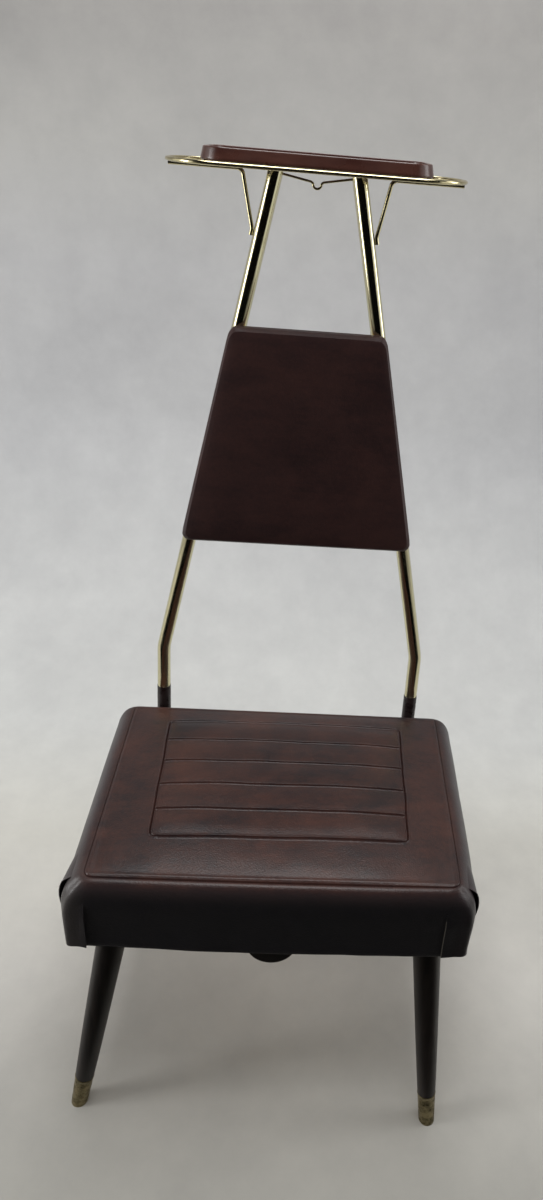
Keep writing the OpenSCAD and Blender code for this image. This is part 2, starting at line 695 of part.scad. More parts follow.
module seat_cushion() color(vinyl) place() {
  top = [for (j = [0:ny - 1], i = [0:nx - 1]) let (p = [grid_x[i], grid_y[j]], q = on_rim(i, j) ? seam_point(p) : p)
    [q[0], q[1], on_rim(i, j) ? seat_h : top_z(p[0], p[1])]];
  sides = [for (ring = side_rings, k = [0:rim_n - 1])
    let (q = side_point([grid_x[rim[k][0]], grid_y[rim[k][1]]], ring[0]))
    [q[0], q[1], seat_h - ring[1] * cushion_h]];
  top_faces = [for (j = [0:ny - 2], i = [0:nx - 2], half = [0, 1]) let (a = j * nx + i)
    half == 0 ? [a, a + nx + 1, a + 1] : [a, a + nx, a + nx + 1]];
  side_faces = [for (level = [0:len(side_rings) - 1], k = [0:rim_n - 1], half = [0, 1])
    half == 0 ? [spot(level, k), spot(level, k + 1), spot(level + 1, k + 1)]
              : [spot(level, k), spot(level + 1, k + 1), spot(level + 1, k)]];
  base = [for (k = [0:rim_n - 1]) spot(len(side_rings), k)];
  polyhedron(concat(top, sides), concat(top_faces, side_faces, [base]), convexity = 4);
}

skirt_h = board_top - hem_z;
skirt_corner = 10;
flap_y = -board_front - skirt_t;

module skirt_front() color(dark_vinyl) place()
  block([-board_half + skirt_corner, flap_y, hem_z], [board_half - skirt_corner, -board_front, board_top]);

// A side panel with its flap wrapped round the front corner
module skirt_side() color(dark_vinyl) {
  corner = [board_half + skirt_t - skirt_corner, flap_y - skirt_t + skirt_corner, hem_z];
  block([board_half, corner[1], hem_z], [board_half + skirt_t, board_back, board_top]);
  translate(corner) rotate([0, 0, -90]) rotate_extrude(angle = 90)
    translate([skirt_corner - skirt_t, 0]) square([skirt_t, skirt_h]);
  block([corner[0] - flap_w, flap_y - skirt_t, hem_z], [corner[0], flap_y, board_top]);
}
module skirt_left() place() mirror([1, 0, 0]) skirt_side();
module skirt_right() place() skirt_side();

tab_low = hem_z - tab_drop;
tab_back_y = box_front - 1.5;

// A tongue of wood under the front edge of the lid, to lift it by
module lift_tab() color(walnut) place() difference() {
  translate([0, tab_back_y, 0]) rotate([90, 0, 0]) linear_extrude(tab_t) {
    translate([0, tab_low + tab_r]) circle(tab_r);
    translate([-tab_r, tab_low + tab_r]) square([2 * tab_r, board_low - tab_low - tab_r]);
  }
  tab_screw_spots() translate([0, 0, -20]) cylinder(h = 20 + over, r = 1.5 + bolt_gap);
}

module tab_screw_spots() for (x = [-tab_r / 2, tab_r / 2])
  translate([x, tab_back_y - tab_t / 2, board_low]) children();

module tab_screws() color(steel) place() tab_screw_spots() translate([0, 0, -18]) cylinder(h = 18, r = 1.5);

box_floor();
front_rail();
rear_rail();
side_rail_left();
side_rail_right();
glue_blocks();
lid_bumpers();
leg_plates();
plate_screws();
hanger_bolts();
leg_front_left();
leg_front_right();
leg_rear_left();
leg_rear_right();
ferrule_front_left();
ferrule_front_right();
ferrule_rear_left();
ferrule_rear_right();
upright_blocks();
upright_left();
upright_right();
upright_bolts();
bolt_nuts();
tube_plugs();
back_board();
back_pad();
back_screws();
hanger_ring();
cross_wires();
tray_straps();
brace_left();
brace_right();
hook_wire();
tray();
tray_screws();
hinge_brackets();
hinge_pins();
hinge_leaves();
seat_board();
seat_cushion();
skirt_front();
skirt_left();
skirt_right();
lift_tab();
tab_screws();
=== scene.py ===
# ---- The chair's frame and the view of it ------------------
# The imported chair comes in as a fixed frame, in metres. The camera stands in front of
# the chair, above its tray, and looks down at the seat, as the photograph does.
import math

import bmesh
import bpy
from mathutils import Matrix, Vector, noise


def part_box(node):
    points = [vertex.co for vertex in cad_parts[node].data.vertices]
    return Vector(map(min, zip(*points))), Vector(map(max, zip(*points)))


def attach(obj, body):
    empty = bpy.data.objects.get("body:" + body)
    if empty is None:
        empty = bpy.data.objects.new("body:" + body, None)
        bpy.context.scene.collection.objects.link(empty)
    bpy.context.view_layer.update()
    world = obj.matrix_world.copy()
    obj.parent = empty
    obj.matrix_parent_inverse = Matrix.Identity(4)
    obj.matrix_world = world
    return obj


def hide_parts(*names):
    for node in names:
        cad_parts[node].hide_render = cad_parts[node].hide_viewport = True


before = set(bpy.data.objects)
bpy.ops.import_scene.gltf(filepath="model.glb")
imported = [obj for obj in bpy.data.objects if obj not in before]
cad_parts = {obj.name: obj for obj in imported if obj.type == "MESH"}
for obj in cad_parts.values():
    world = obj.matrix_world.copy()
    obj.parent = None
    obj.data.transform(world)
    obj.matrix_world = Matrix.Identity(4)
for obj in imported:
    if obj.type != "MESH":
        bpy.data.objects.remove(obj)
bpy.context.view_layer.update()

look_down, look_right, tilt = math.radians(21.27), math.radians(4.08), math.radians(4.94)
level = math.cos(look_down)
ahead = Vector((math.sin(look_right) * level, math.cos(look_right) * level, -math.sin(look_down)))
level_right = Vector((math.cos(look_right), -math.sin(look_right), 0))
level_up = level_right.cross(ahead)
right = level_right * math.cos(tilt) + level_up * math.sin(tilt)
up = level_up * math.cos(tilt) - level_right * math.sin(tilt)

lens = bpy.data.cameras.new("view")
lens.lens, lens.sensor_width, lens.sensor_fit = 26.292, 36, "AUTO"
lens.shift_x, lens.shift_y = -0.0787, -0.0999
lens.clip_start = 0.05
camera = bpy.data.objects.new("view", lens)
camera_place, camera_turn = (0.0098, -0.9650, 1.1747), Matrix((right, up, -ahead)).transposed()
camera.matrix_world = Matrix.Translation(camera_place) @ camera_turn.to_4x4()
bpy.context.scene.collection.objects.link(camera)
bpy.context.scene.camera = camera
bpy.context.scene.view_settings.view_transform = "Standard"


# ---- Studio: floor, backdrop and light ---------------------
# A pale sheet runs over the floor and up behind the chair in one soft bend. A wide lamp
# hangs above the chair, and a tall lamp at each side draws a streak on the brass.
class Nodes:
    """Makes the nodes of one material, group or world. An input takes a value or a socket."""

    def __init__(self, tree):
        self.tree = tree

    def feed(self, made, inputs):
        for key, value in inputs.items():
            if isinstance(value, bpy.types.NodeSocket):
                self.tree.links.new(value, made.inputs[key])
            else:
                made.inputs[key].default_value = value
        return made

    def new(self, kind, inputs=None, **settings):
        made = self.tree.nodes.new(kind)
        for key, value in settings.items():
            setattr(made, key, value)
        return self.feed(made, inputs or {})

    def clouds(self, where, scale, detail, **more):
        inputs = {"Vector": where, "Scale": scale, "Detail": detail} | more
        return self.new("ShaderNodeTexNoise", inputs).outputs["Fac"]

    def stretch(self, where, by):
        return self.new("ShaderNodeVectorMath", {0: where, 1: by}, operation="MULTIPLY").outputs[0]

    def maths(self, operation, *values, clamp=False):
        inputs = dict(enumerate(values))
        return self.new("ShaderNodeMath", inputs, operation=operation, use_clamp=clamp).outputs[0]

    def spread(self, value, low, high, to_low=0.0, to_high=1.0, way="LINEAR"):
        inputs = {"Value": value, "From Min": low, "From Max": high, "To Min": to_low, "To Max": to_high}
        return self.new("ShaderNodeMapRange", inputs, interpolation_type=way).outputs["Result"]

    def mix(self, share, a, b, **settings):
        return self.new("ShaderNodeMix", {"Factor": share, "A": a, "B": b}, **settings).outputs["Result"]

    def blend(self, share, a, b, way="MIX"):
        return self.mix(share, a, b, data_type="RGBA", blend_type=way)

    def ramp(self, value, first, *others):
        made = self.new("ShaderNodeValToRGB", {"Fac": value})
        *middle, last = others
        stops = made.color_ramp.elements
        stops[0].position, stops[0].color = first
        stops[1].position, stops[1].color = last
        for place, colour in middle:
            stops.new(place).color = colour
        return made.outputs["Color"]

    def bump(self, height, distance, strength):
        inputs = {"Height": height, "Distance": distance, "Strength": strength}
        return self.new("ShaderNodeBump", inputs).outputs[0]

    def object_place(self):
        return self.new("ShaderNodeTexCoord").outputs["Object"]


def finish(name):
    """An empty material, its shader, and the maker of its other nodes."""
    material = bpy.data.materials.new(name)
    material.use_nodes = True
    return material, material.node_tree.nodes["Principled BSDF"], Nodes(material.node_tree)


def add_piece(name, mesh, material, body=None, replaces=(), sharp=40):
    """Turns a finished bmesh into an object of the chair."""
    bmesh.ops.recalc_face_normals(mesh, faces=mesh.faces[:])
    data = bpy.data.meshes.new(name)
    mesh.to_mesh(data)
    mesh.free()
    data.shade_smooth()
    data.set_sharp_from_angle(angle=math.radians(sharp))
    data.materials.append(material)
    piece = bpy.data.objects.new(name, data)
    bpy.context.scene.collection.objects.link(piece)
    if body:
        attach(piece, body)
    if replaces:
        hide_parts(*replaces)
    return piece


def verts_of(geometry):
    return [g for g in geometry if isinstance(g, bmesh.types.BMVert)]


def edges_of(geometry):
    return [g for g in geometry if isinstance(g, bmesh.types.BMEdge)]


def draw_on(mesh, edges):
    """Extrudes edges. Gives the new points, still in the old places, and the edges between them."""
    made = bmesh.ops.extrude_edge_only(mesh, edges=edges)["geom"]
    fresh = verts_of(made)
    known = set(fresh)
    return fresh, [e for e in edges_of(made) if known.issuperset(e.verts)]


def shift(mesh, x=0.0, y=0.0, z=0.0):
    bmesh.ops.translate(mesh, verts=mesh.verts[:], vec=(x, y, z))


# The sheet's colour goes by the way along it, from its front edge to its top: painted shade, darker on the floor in
# front and towards the top, lighter between
backdrop, shader, nodes = finish("backdrop_sheet")
where = nodes.object_place()
blotches = nodes.clouds(where, 2.2, 5.0, Roughness=0.6)
scuffs = nodes.clouds(where, 14.0, 6.0, Roughness=0.7)
tone = nodes.ramp(nodes.mix(0.35, blotches, scuffs), (0.34, (0.82, 0.82, 0.83, 1)), (0.62, (1.0, 1.0, 1.0, 1)))
apart = nodes.new("ShaderNodeSeparateXYZ", {"Vector": where}).outputs
run = nodes.maths("ADD", apart["Y"], apart["Z"])
painted_shade_band = nodes.ramp(
    nodes.spread(run, -0.4, 2.6),
    (0.03, (0.41, 0.40, 0.365, 1)), (0.13, (0.60, 0.585, 0.545, 1)), (0.22, (0.575, 0.565, 0.52, 1)),
    (0.32, (0.635, 0.64, 0.62, 1)), (0.55, (0.60, 0.605, 0.605, 1)), (0.64, (0.66, 0.665, 0.675, 1)),
    (0.76, (0.56, 0.56, 0.565, 1)), (0.84, (0.49, 0.485, 0.47, 1)), (0.93, (0.395, 0.384, 0.370, 1)))
nodes.feed(shader, {"Base Color": nodes.blend(1.0, painted_shade_band, tone, "MULTIPLY"), "Roughness": 0.75,
                    "Specular IOR Level": 0.25})
# From behind the sheet is clear, so that the chair's back can be seen through it
one_sided = nodes.new("ShaderNodeMixShader", {
    "Fac": nodes.new("ShaderNodeNewGeometry").outputs["Backfacing"],
    1: shader.outputs[0], 2: nodes.new("ShaderNodeBsdfTransparent").outputs[0]})
nodes.feed(backdrop.node_tree.nodes["Material Output"], {"Surface": one_sided.outputs[0]})

sheet_w, sheet_front, sheet_back, sheet_top, sheet_bend = 5.0, -2.2, 1.0, 3.2, 0.55
sheet = bmesh.new()
ends = [sheet.verts.new((x, sheet_front, 0)) for x in (-sheet_w / 2, sheet_w / 2)]
ends, edge = draw_on(sheet, [sheet.edges.new(ends)])
bmesh.ops.translate(sheet, verts=ends, vec=(0, sheet_back - sheet_bend - sheet_front, 0))
bend = bmesh.ops.spin(sheet, geom=ends + edge, cent=(0, sheet_back - sheet_bend, sheet_bend),
                      axis=(1, 0, 0), angle=math.pi / 2, steps=24)["geom_last"]
ends, edge = draw_on(sheet, edges_of(bend))
bmesh.ops.translate(sheet, verts=ends, vec=(0, 0, sheet_top - sheet_bend))
studio = add_piece("studio_sheet", sheet, backdrop)
if studio.data.polygons[0].normal.z < 0:
    studio.data.flip_normals()


def soft_lamp(name, place, aim, width, height, power):
    lamp = bpy.data.lights.new(name, "AREA")
    lamp.shape, lamp.size, lamp.size_y, lamp.energy = "RECTANGLE", width, height, power
    stand = bpy.data.objects.new(name, lamp)
    turn = (Vector(aim) - Vector(place)).to_track_quat("-Z", "Y").to_matrix()
    stand.matrix_world = Matrix.Translation(place) @ turn.to_4x4()
    bpy.context.scene.collection.objects.link(stand)


soft_lamp("lamp_above", (0.0, 0.05, 2.6), (0.05, 0.05, 0.4), 1.8, 1.2, 40)
soft_lamp("lamp_left", (-1.9, -0.45, 0.95), (0.0, 0.0, 0.35), 0.5, 1.5, 16)
soft_lamp("lamp_right", (1.9, 0.15, 1.5), (0.0, 0.1, 0.6), 0.6, 1.9, 11)

# Black cards, which the camera never sees. The upright one is the dark room behind the
# camera. The others, on the floor in front and above the lamps, are only mirrored.
card_face, shader, nodes = finish("black_card")
nodes.feed(shader, {"Base Color": (0.004, 0.004, 0.004, 1), "Roughness": 1.0, "Specular IOR Level": 0.0})
for name, size, place in (("studio_card", (5.6, 3.4, 1), (0.0, -1.9, 1.72)),
                          ("studio_floor_card", (2.6, 1.36, 1), (0.0, -0.94, 0.002)),
                          ("studio_ceiling_card", (5.6, 4.0, 1), (0.0, -0.2, 2.95))):
    upright = name == "studio_card"
    card = bmesh.new()
    bmesh.ops.create_grid(card, x_segments=1, y_segments=1, size=0.5)
    bmesh.ops.scale(card, vec=size, verts=card.verts[:])
    if upright:
        bmesh.ops.rotate(card, matrix=Matrix.Rotation(math.pi / 2, 3, "X"), verts=card.verts[:])
    shift(card, *place)
    card = add_piece(name, card, card_face)
    card.visible_camera = card.visible_transmission = False
    if not upright:
        card.visible_diffuse = card.visible_shadow = False

# The air is pale where it is seen or mirrored, and lights the chair less than it shows
world = bpy.data.worlds.new("studio_air")
bpy.context.scene.world = world
world.use_nodes = True
nodes = Nodes(world.node_tree)
fill = nodes.feed(world.node_tree.nodes["Background"], {"Color": (1, 0.99, 0.97, 1), "Strength": 0.42})
pale = nodes.new("ShaderNodeBackground", {"Color": (0.72, 0.72, 0.70, 1), "Strength": 1.0})
ray = nodes.new("ShaderNodeLightPath").outputs
seen = nodes.maths("MAXIMUM", ray["Is Camera Ray"], ray["Is Glossy Ray"])
seen = nodes.maths("MAXIMUM", seen, ray["Is Transmission Ray"])
air = nodes.new("ShaderNodeMixShader", {"Fac": seen, 1: fill.outputs[0], 2: pale.outputs[0]})
nodes.feed(world.node_tree.nodes["World Output"], {"Surface": air.outputs[0]})


# ---- Shared effects: wood grain, vinyl grain, worn metal ---
# Each effect that several finishes use is one node group with named inputs, such as the
# pitch of its grain, and gives back only what changes over the surface.
def effect(name, takes):
    """A shader node group, its inputs, the node that takes its results, and a maker of nodes."""
    group = bpy.data.node_groups.new(name, "ShaderNodeTree")
    for title, kind, value in takes:
        socket = group.interface.new_socket(title, in_out="INPUT", socket_type="NodeSocket" + kind)
        socket.default_value = value
    for title, kind in (("Color", "Color"), ("Roughness", "Float"), ("Normal", "Vector")):
        group.interface.new_socket(title, in_out="OUTPUT", socket_type="NodeSocket" + kind)
    nodes = Nodes(group)
    return group, nodes.new("NodeGroupInput").outputs, nodes.new("NodeGroupOutput"), nodes


# Grain that runs along one axis: fine streaks, broken by slower waves of colour
wood_grain, takes, results, nodes = effect("wood_grain", [
    ("Dark", "Color", (0.02, 0.01, 0.01, 1)), ("Light", "Color", (0.05, 0.03, 0.02, 1)),
    ("Stretch", "Vector", (150, 150, 6)), ("Depth", "Float", 0.0002), ("Shine", "Float", 0.35)])
where = nodes.object_place()
along = nodes.stretch(where, takes["Stretch"])
fine = nodes.clouds(along, 1.0, 5.0, Roughness=0.62, Distortion=0.15)
slow = nodes.clouds(along, 0.16, 2.0, Distortion=0.6)
share = nodes.spread(nodes.mix(0.45, fine, slow), 0.36, 0.66)
dulled = nodes.maths("MULTIPLY", nodes.clouds(where, 26.0, 3.0), 0.22)
nodes.feed(results, {
    "Color": nodes.blend(share, takes["Dark"], takes["Light"]),
    "Roughness": nodes.maths("ADD", dulled, takes["Shine"]),
    "Normal": nodes.bump(fine, takes["Depth"], 0.6)})

# Vinyl with a leather print: small pebbles, creases across them, and worn, mottled colour
vinyl_grain, takes, results, nodes = effect("vinyl_grain", [
    ("Dark", "Color", (0.02, 0.01, 0.01, 1)), ("Warm", "Color", (0.07, 0.03, 0.02, 1)),
    ("Pebbles", "Float", 620.0), ("Warmth", "Float", 1.0), ("Shine", "Float", 0.38), ("Depth", "Float", 0.0003)])
where = nodes.object_place()
patches = nodes.clouds(where, 11.0, 5.0, Roughness=0.6, Distortion=0.4)
streaks = nodes.clouds(nodes.stretch(where, (18.0, 60.0, 60.0)), 1.0, 4.0, Roughness=0.7)
flecks = nodes.clouds(where, 240.0, 3.0, Roughness=0.7)
wear = nodes.mix(0.22, nodes.mix(0.4, patches, streaks), flecks)
wear = nodes.maths("MULTIPLY", nodes.spread(wear, 0.40, 0.62), takes["Warmth"], clamp=True)
pebbles = nodes.new("ShaderNodeTexVoronoi", {"Vector": where, "Scale": takes["Pebbles"], "Randomness": 0.9},
                    feature="SMOOTH_F1").outputs["Distance"]
creases = nodes.clouds(where, 130.0, 5.0, Roughness=0.65)
height = nodes.maths("MULTIPLY_ADD", creases, 0.9, pebbles)
height = nodes.maths("MULTIPLY_ADD", nodes.clouds(where, 32.0, 2.0), 1.6, height)
rough = nodes.maths("MULTIPLY_ADD", patches, 0.16, takes["Shine"])
nodes.feed(results, {
    "Color": nodes.blend(wear, takes["Dark"], takes["Warm"]),
    "Roughness": nodes.maths("MULTIPLY_ADD", pebbles, 0.05, rough),
    "Normal": nodes.bump(height, takes["Depth"], 0.5)})

# Metal that has been handled: cloudy dull patches and small dark specks
worn_metal, takes, results, nodes = effect("worn_metal", [
    ("Bright", "Color", (0.8, 0.7, 0.4, 1)), ("Dull", "Color", (0.3, 0.25, 0.1, 1)), ("Wear", "Float", 0.3),
    ("Polish", "Float", 0.1), ("Patches", "Float", 60.0), ("Dents", "Float", 0.00005)])
where = nodes.object_place()
bloom = nodes.clouds(where, takes["Patches"], 5.0, Roughness=0.65)
specks = nodes.spread(nodes.clouds(where, 700.0, 2.0), 0.62, 0.74)
dull = nodes.maths("MULTIPLY_ADD", specks, 0.5, nodes.spread(bloom, 0.42, 0.68))
dull = nodes.maths("MULTIPLY", dull, takes["Wear"], clamp=True)
nodes.feed(results, {
    "Color": nodes.blend(dull, takes["Bright"], takes["Dull"]),
    "Roughness": nodes.maths("MULTIPLY_ADD", dull, 0.45, takes["Polish"]),
    "Normal": nodes.bump(bloom, takes["Dents"], 1.0)})


def coat(name, group, values, shader_values=None):
    """A material that one of the effects colours, roughens and bumps."""
    material, shader, nodes = finish(name)
    grain = nodes.new("ShaderNodeGroup", values, node_tree=group).outputs
    nodes.feed(shader, {"Base Color": grain["Color"], "Roughness": grain["Roughness"], "Normal": grain["Normal"]})
    nodes.feed(shader, shader_values or {})
    return material


def dress(material, *names):
    """Gives CAD nodes their finish."""
    for name in names:
        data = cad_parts[name].data
        data.materials.clear()
        data.materials.append(material)


# ---- Storage box -------------------------------------------
# Four stained rails on a plywood floor, with glue blocks in the front corners and soft
# dots for the lid. The box hides under the seat, so its CAD solids stay as they are.
stain = {"Dark": (0.012, 0.007, 0.005, 1), "Light": (0.035, 0.019, 0.013, 1), "Shine": 0.42}
stained_rail = coat("stained_rail", wood_grain, stain | {"Stretch": (7, 190, 190)})
stained_side = coat("stained_side_rail", wood_grain, stain | {"Stretch": (190, 7, 190)})
bare_ply = coat("bare_plywood", wood_grain, {"Dark": (0.36, 0.21, 0.10, 1), "Light": (0.56, 0.38, 0.21, 1),
                                             "Stretch": (9, 140, 140), "Shine": 0.55})
soft_dot = coat("soft_dot", worn_metal, {"Bright": (0.02, 0.02, 0.02, 1), "Dull": (0.05, 0.05, 0.05, 1),
                                         "Polish": 0.6, "Wear": 0.5})
dress(stained_rail, "front_rail", "rear_rail", "upright_blocks")
dress(stained_side, "side_rail_left", "side_rail_right")
dress(bare_ply, "box_floor", "glue_blocks", "seat_board", "back_board")
dress(soft_dot, "lid_bumpers", "tube_plugs")


# ---- Legs --------------------------------------------------
# Turned beech legs, stained near black. Each is a straight taper off the lathe, cut flat
# at a slant where it meets its steel plate, and leans out from the box.
leg_wood = coat("turned_leg_wood", wood_grain, {
    "Dark": (0.0065, 0.0050, 0.0046, 1), "Light": (0.024, 0.0170, 0.0140, 1), "Stretch": (230, 230, 9),
    "Depth": 0.00025, "Shine": 0.30}, {"Specular IOR Level": 0.35})
leg_lean = math.radians(11)
leg_top_z, leg_spread, leg_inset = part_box("leg_plates")[0].z, 0.190, 0.022
leg_front_y, leg_back_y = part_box("front_rail")[0].y + leg_inset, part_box("rear_rail")[1].y - leg_inset
leg_length, ferrule_length = leg_top_z / math.cos(leg_lean), 0.042
leg_radius, ankle_radius, leg_waist = 0.018, 0.0115, 0.85
leg_places = {  # the legs' heads, and the way that each leans, in degrees from +X
    "front_left": (-leg_spread, leg_front_y, 90 - 56), "front_right": (leg_spread, leg_front_y, 90 + 26),
    "rear_left": (-leg_spread, leg_back_y, -90 + 45), "rear_right": (leg_spread, leg_back_y, -90 - 45)}


def lathe(profile, segments=72):
    """Turns a profile of (radius, height) points about an upright axis."""
    mesh = bmesh.new()
    line = [mesh.verts.new((r, 0, z)) for r, z in profile]
    edges = [mesh.edges.new(pair) for pair in zip(line, line[1:])]
    bmesh.ops.spin(mesh, geom=line + edges, cent=(0, 0, 0), axis=(0, 0, 1), angle=math.tau,
                   steps=segments, use_merge=True)
    bmesh.ops.remove_doubles(mesh, verts=mesh.verts[:], dist=1e-6)
    return mesh


def stand_leg(mesh, x, y, heading):
    """Puts what hangs straight down from the origin at its place under the box."""
    turn = Matrix.Rotation(math.radians(heading), 4, "Z") @ Matrix.Rotation(leg_lean, 4, "Y")
    bmesh.ops.transform(mesh, verts=mesh.verts[:], matrix=Matrix.Translation((x, y, leg_top_z)) @ turn)


def cut(mesh, height, keep_below):
    """A level cut through a mesh. Gives what lies along it."""
    return bmesh.ops.bisect_plane(
        mesh, geom=mesh.verts[:] + mesh.edges[:] + mesh.faces[:], plane_co=(0, 0, height), plane_no=(0, 0, 1),
        clear_outer=keep_below, clear_inner=not keep_below)["geom_cut"]


def saw_off(mesh, height, keep_below):
    """A level cut, closed with a flat face."""
    bmesh.ops.holes_fill(mesh, edges=edges_of(cut(mesh, height, keep_below)), sides=0)


for corner, (x, y, heading) in leg_places.items():
    wood_end, foot = ferrule_length - leg_length, 0.0065 - leg_length
    taper = [(ankle_radius + (leg_radius - ankle_radius) * (1 - i / 24) ** leg_waist, wood_end * i / 24)
             for i in range(25)]
    leg = lathe([(0, 0.03), (leg_radius, 0.03)] + taper + [(0.0107, wood_end), (0.0092, foot), (0, foot)])
    stand_leg(leg, x, y, heading)
    saw_off(leg, leg_top_z, True)
    add_piece("turned_leg_" + corner, leg, leg_wood, "root", ["leg_" + corner])


# ---- Ferrules ----------------------------------------------
# Thin brass cups drawn over the feet of the legs. They have a rolled upper edge, small
# knocks, and the dull bloom of old brass that nobody polishes.
metal = {"Metallic": 1.0}
old_brass = coat("old_ferrule_brass", worn_metal, {
    "Bright": (0.27, 0.225, 0.125, 1), "Dull": (0.075, 0.063, 0.034, 1), "Wear": 0.95, "Polish": 0.34,
    "Patches": 110.0, "Dents": 0.0004}, metal)
cup_top, cup_foot = 0.01145, 0.0100
for corner, (x, y, heading) in leg_places.items():
    lip = ferrule_length - leg_length
    rolled = [(0.0107, -0.003), (0.0107, -0.0002), (0.0110, 0.0003), (0.0117, 0.0003), (0.0120, -0.0004),
              (0.0118, -0.0012), (cup_top, -0.0018)]
    side = [(cup_top + (cup_foot - cup_top) * i / 10, -0.002 - (ferrule_length - 0.002) * i / 10)
            for i in range(1, 11)]
    below = -leg_length - 0.006
    cup = lathe([(r, lip + z) for r, z in rolled + side] + [(cup_foot, below), (0, below)])
    stand_leg(cup, x, y, heading)
    saw_off(cup, 0.0, False)
    rim = [e for e in cup.edges if all(abs(v.co.z) < 1e-6 for v in e.verts)]
    bmesh.ops.bevel(cup, geom=rim, offset=0.0008, segments=2, profile=0.5, affect="EDGES", material=-1)
    add_piece("ferrule_cup_" + corner, cup, old_brass, "root", ["ferrule_" + corner])

# The plates, the hinges, and the small screws, bolts and nuts are plain zinc-plated steel
zinc = coat("zinc_steel", worn_metal, {"Bright": (0.56, 0.57, 0.58, 1), "Dull": (0.25, 0.25, 0.25, 1),
                                       "Wear": 0.6, "Polish": 0.28}, metal)
dress(zinc, "leg_plates", "plate_screws", "hanger_bolts", "bolt_nuts", "tray_screws", "hinge_brackets",
      "hinge_pins", "hinge_leaves", "tab_screws")


# ---- Uprights ----------------------------------------------
# Two 19 mm brass-plated steel tubes. Each stands straight behind the seat, has one short
# bend of about 11 degrees, and leans in to the tray.
bright_brass = coat("bright_tube_brass", worn_metal, {
    "Bright": (0.70, 0.655, 0.44, 1), "Dull": (0.36, 0.30, 0.16, 1), "Wear": 0.26, "Polish": 0.10,
    "Patches": 38.0, "Dents": 0.00002}, metal)
tube_y = sum(v.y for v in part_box("hanger_ring")) / 2
tube_low_z, tube_top_z = [v.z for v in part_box("upright_left")]
tube_foot, tube_radius, tube_wall, bend_z, bend_radius = 0.186, 0.0095, 0.0015, 0.457, 0.060
tube_head, head_z = 0.050, 1.1335
lean_in = math.atan((tube_foot - tube_head) / (head_z - bend_z))
sides = ((-1, "left"), (1, "right"))


def bend_wire(start, heading, moves, radius, segments=24, closed=False, hollow=False):
    """A round wire or tube, drawn in X and Z from its start, on a heading in degrees.

    A move is a length to run, or (degrees to turn left, bend radius).
    """
    mesh = bmesh.new()
    bmesh.ops.create_circle(mesh, segments=segments, radius=radius, cap_ends=not (closed or hollow))
    heading = math.radians(heading)
    at = Vector((start[0], 0, start[1]))
    bmesh.ops.rotate(mesh, verts=mesh.verts[:], matrix=Matrix.Rotation(math.pi / 2 - heading, 3, "Y"))
    shift(mesh, *at)
    verts, edges = mesh.verts[:], mesh.edges[:]
    for move in moves:
        along = Vector((math.cos(heading), 0, math.sin(heading)))
        if isinstance(move, tuple):
            turn = math.radians(move[0])
            heart = Vector((-along.z, 0, along.x)) * math.copysign(move[1], turn)
            made = bmesh.ops.spin(mesh, geom=verts + edges, cent=at + heart, axis=(0, -1, 0), angle=turn,
                                  steps=max(3, math.ceil(abs(move[0]) / 7)))["geom_last"]
            verts, edges = verts_of(made), edges_of(made)
            at = at + heart - Matrix.Rotation(turn, 3, (0, -1, 0)) @ heart
            heading += turn
        else:
            verts, edges = draw_on(mesh, edges)
            bmesh.ops.translate(mesh, verts=verts, vec=along * move)
            at = at + along * move
    if not (closed or hollow):
        bmesh.ops.contextual_create(mesh, geom=edges)
    bmesh.ops.remove_doubles(mesh, verts=mesh.verts[:], dist=2e-5)
    return mesh


def wire_moves(points):
    """From corner points (x, z, bend radius), the bender's first heading and its moves."""
    spots = [Vector(point[:2]) for point in points]
    ways = [b - a for a, b in zip(spots, spots[1:])]
    headings = [math.degrees(math.atan2(way.y, way.x)) for way in ways]
    turns = [(b - a + 180) % 360 - 180 for a, b in zip(headings, headings[1:])]
    taken = [0] + [p[2] * math.tan(math.radians(abs(t)) / 2) for p, t in zip(points[1:-1], turns)] + [0]
    moves = []
    for i, way in enumerate(ways):
        moves.append(way.length - taken[i] - taken[i + 1])
        if i < len(turns):
            moves.append((turns[i], points[i + 1][2]))
    return headings[0], moves


def tube_x(z):
    """How far out the middle of a tube is, above its bend."""
    return tube_foot - (z - bend_z) * math.tan(lean_in)


def set_at(mesh, side):
    """Brings a tube or wire to the tubes' plane, mirrored if it goes on the left."""
    bmesh.ops.scale(mesh, verts=mesh.verts[:], vec=(side, 1, 1))
    shift(mesh, y=tube_y)


for side, name in sides:
    past = tube_top_z + 0.02
    heading, moves = wire_moves([(tube_foot, tube_low_z), (tube_foot, bend_z, bend_radius), (tube_x(past), past)])
    tube = bend_wire((tube_foot, tube_low_z), heading, moves, tube_radius, segments=48, hollow=True)
    cut(tube, tube_top_z, True)
    bmesh.ops.recalc_face_normals(tube, faces=tube.faces[:])
    bmesh.ops.solidify(tube, geom=tube.faces[:], thickness=tube_wall)
    set_at(tube, side)
    add_piece("brass_tube_" + name, tube, bright_brass, "root", ["upright_" + name])

# A thin sleeve of brown vinyl covers each tube from the box's rim to just above the seat
sleeve_vinyl = coat("sleeve_vinyl", worn_metal, {"Bright": (0.012, 0.007, 0.007, 1),
                                                 "Dull": (0.026, 0.015, 0.014, 1), "Wear": 0.7, "Polish": 0.22})
sleeve_low, sleeve_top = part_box("front_rail")[1].z + 0.0005, 0.390
sleeve_in, sleeve_out = 0.00952, 0.0099
for side, name in sides:
    sleeve = lathe([(sleeve_in, sleeve_low), (sleeve_out, sleeve_low), (sleeve_out, sleeve_top - 0.0004),
                    (0.0097, sleeve_top), (sleeve_in, sleeve_top)], 64)
    shift(sleeve, side * tube_foot, tube_y)
    add_piece("tube_sleeve_" + name, sleeve, sleeve_vinyl, "root")

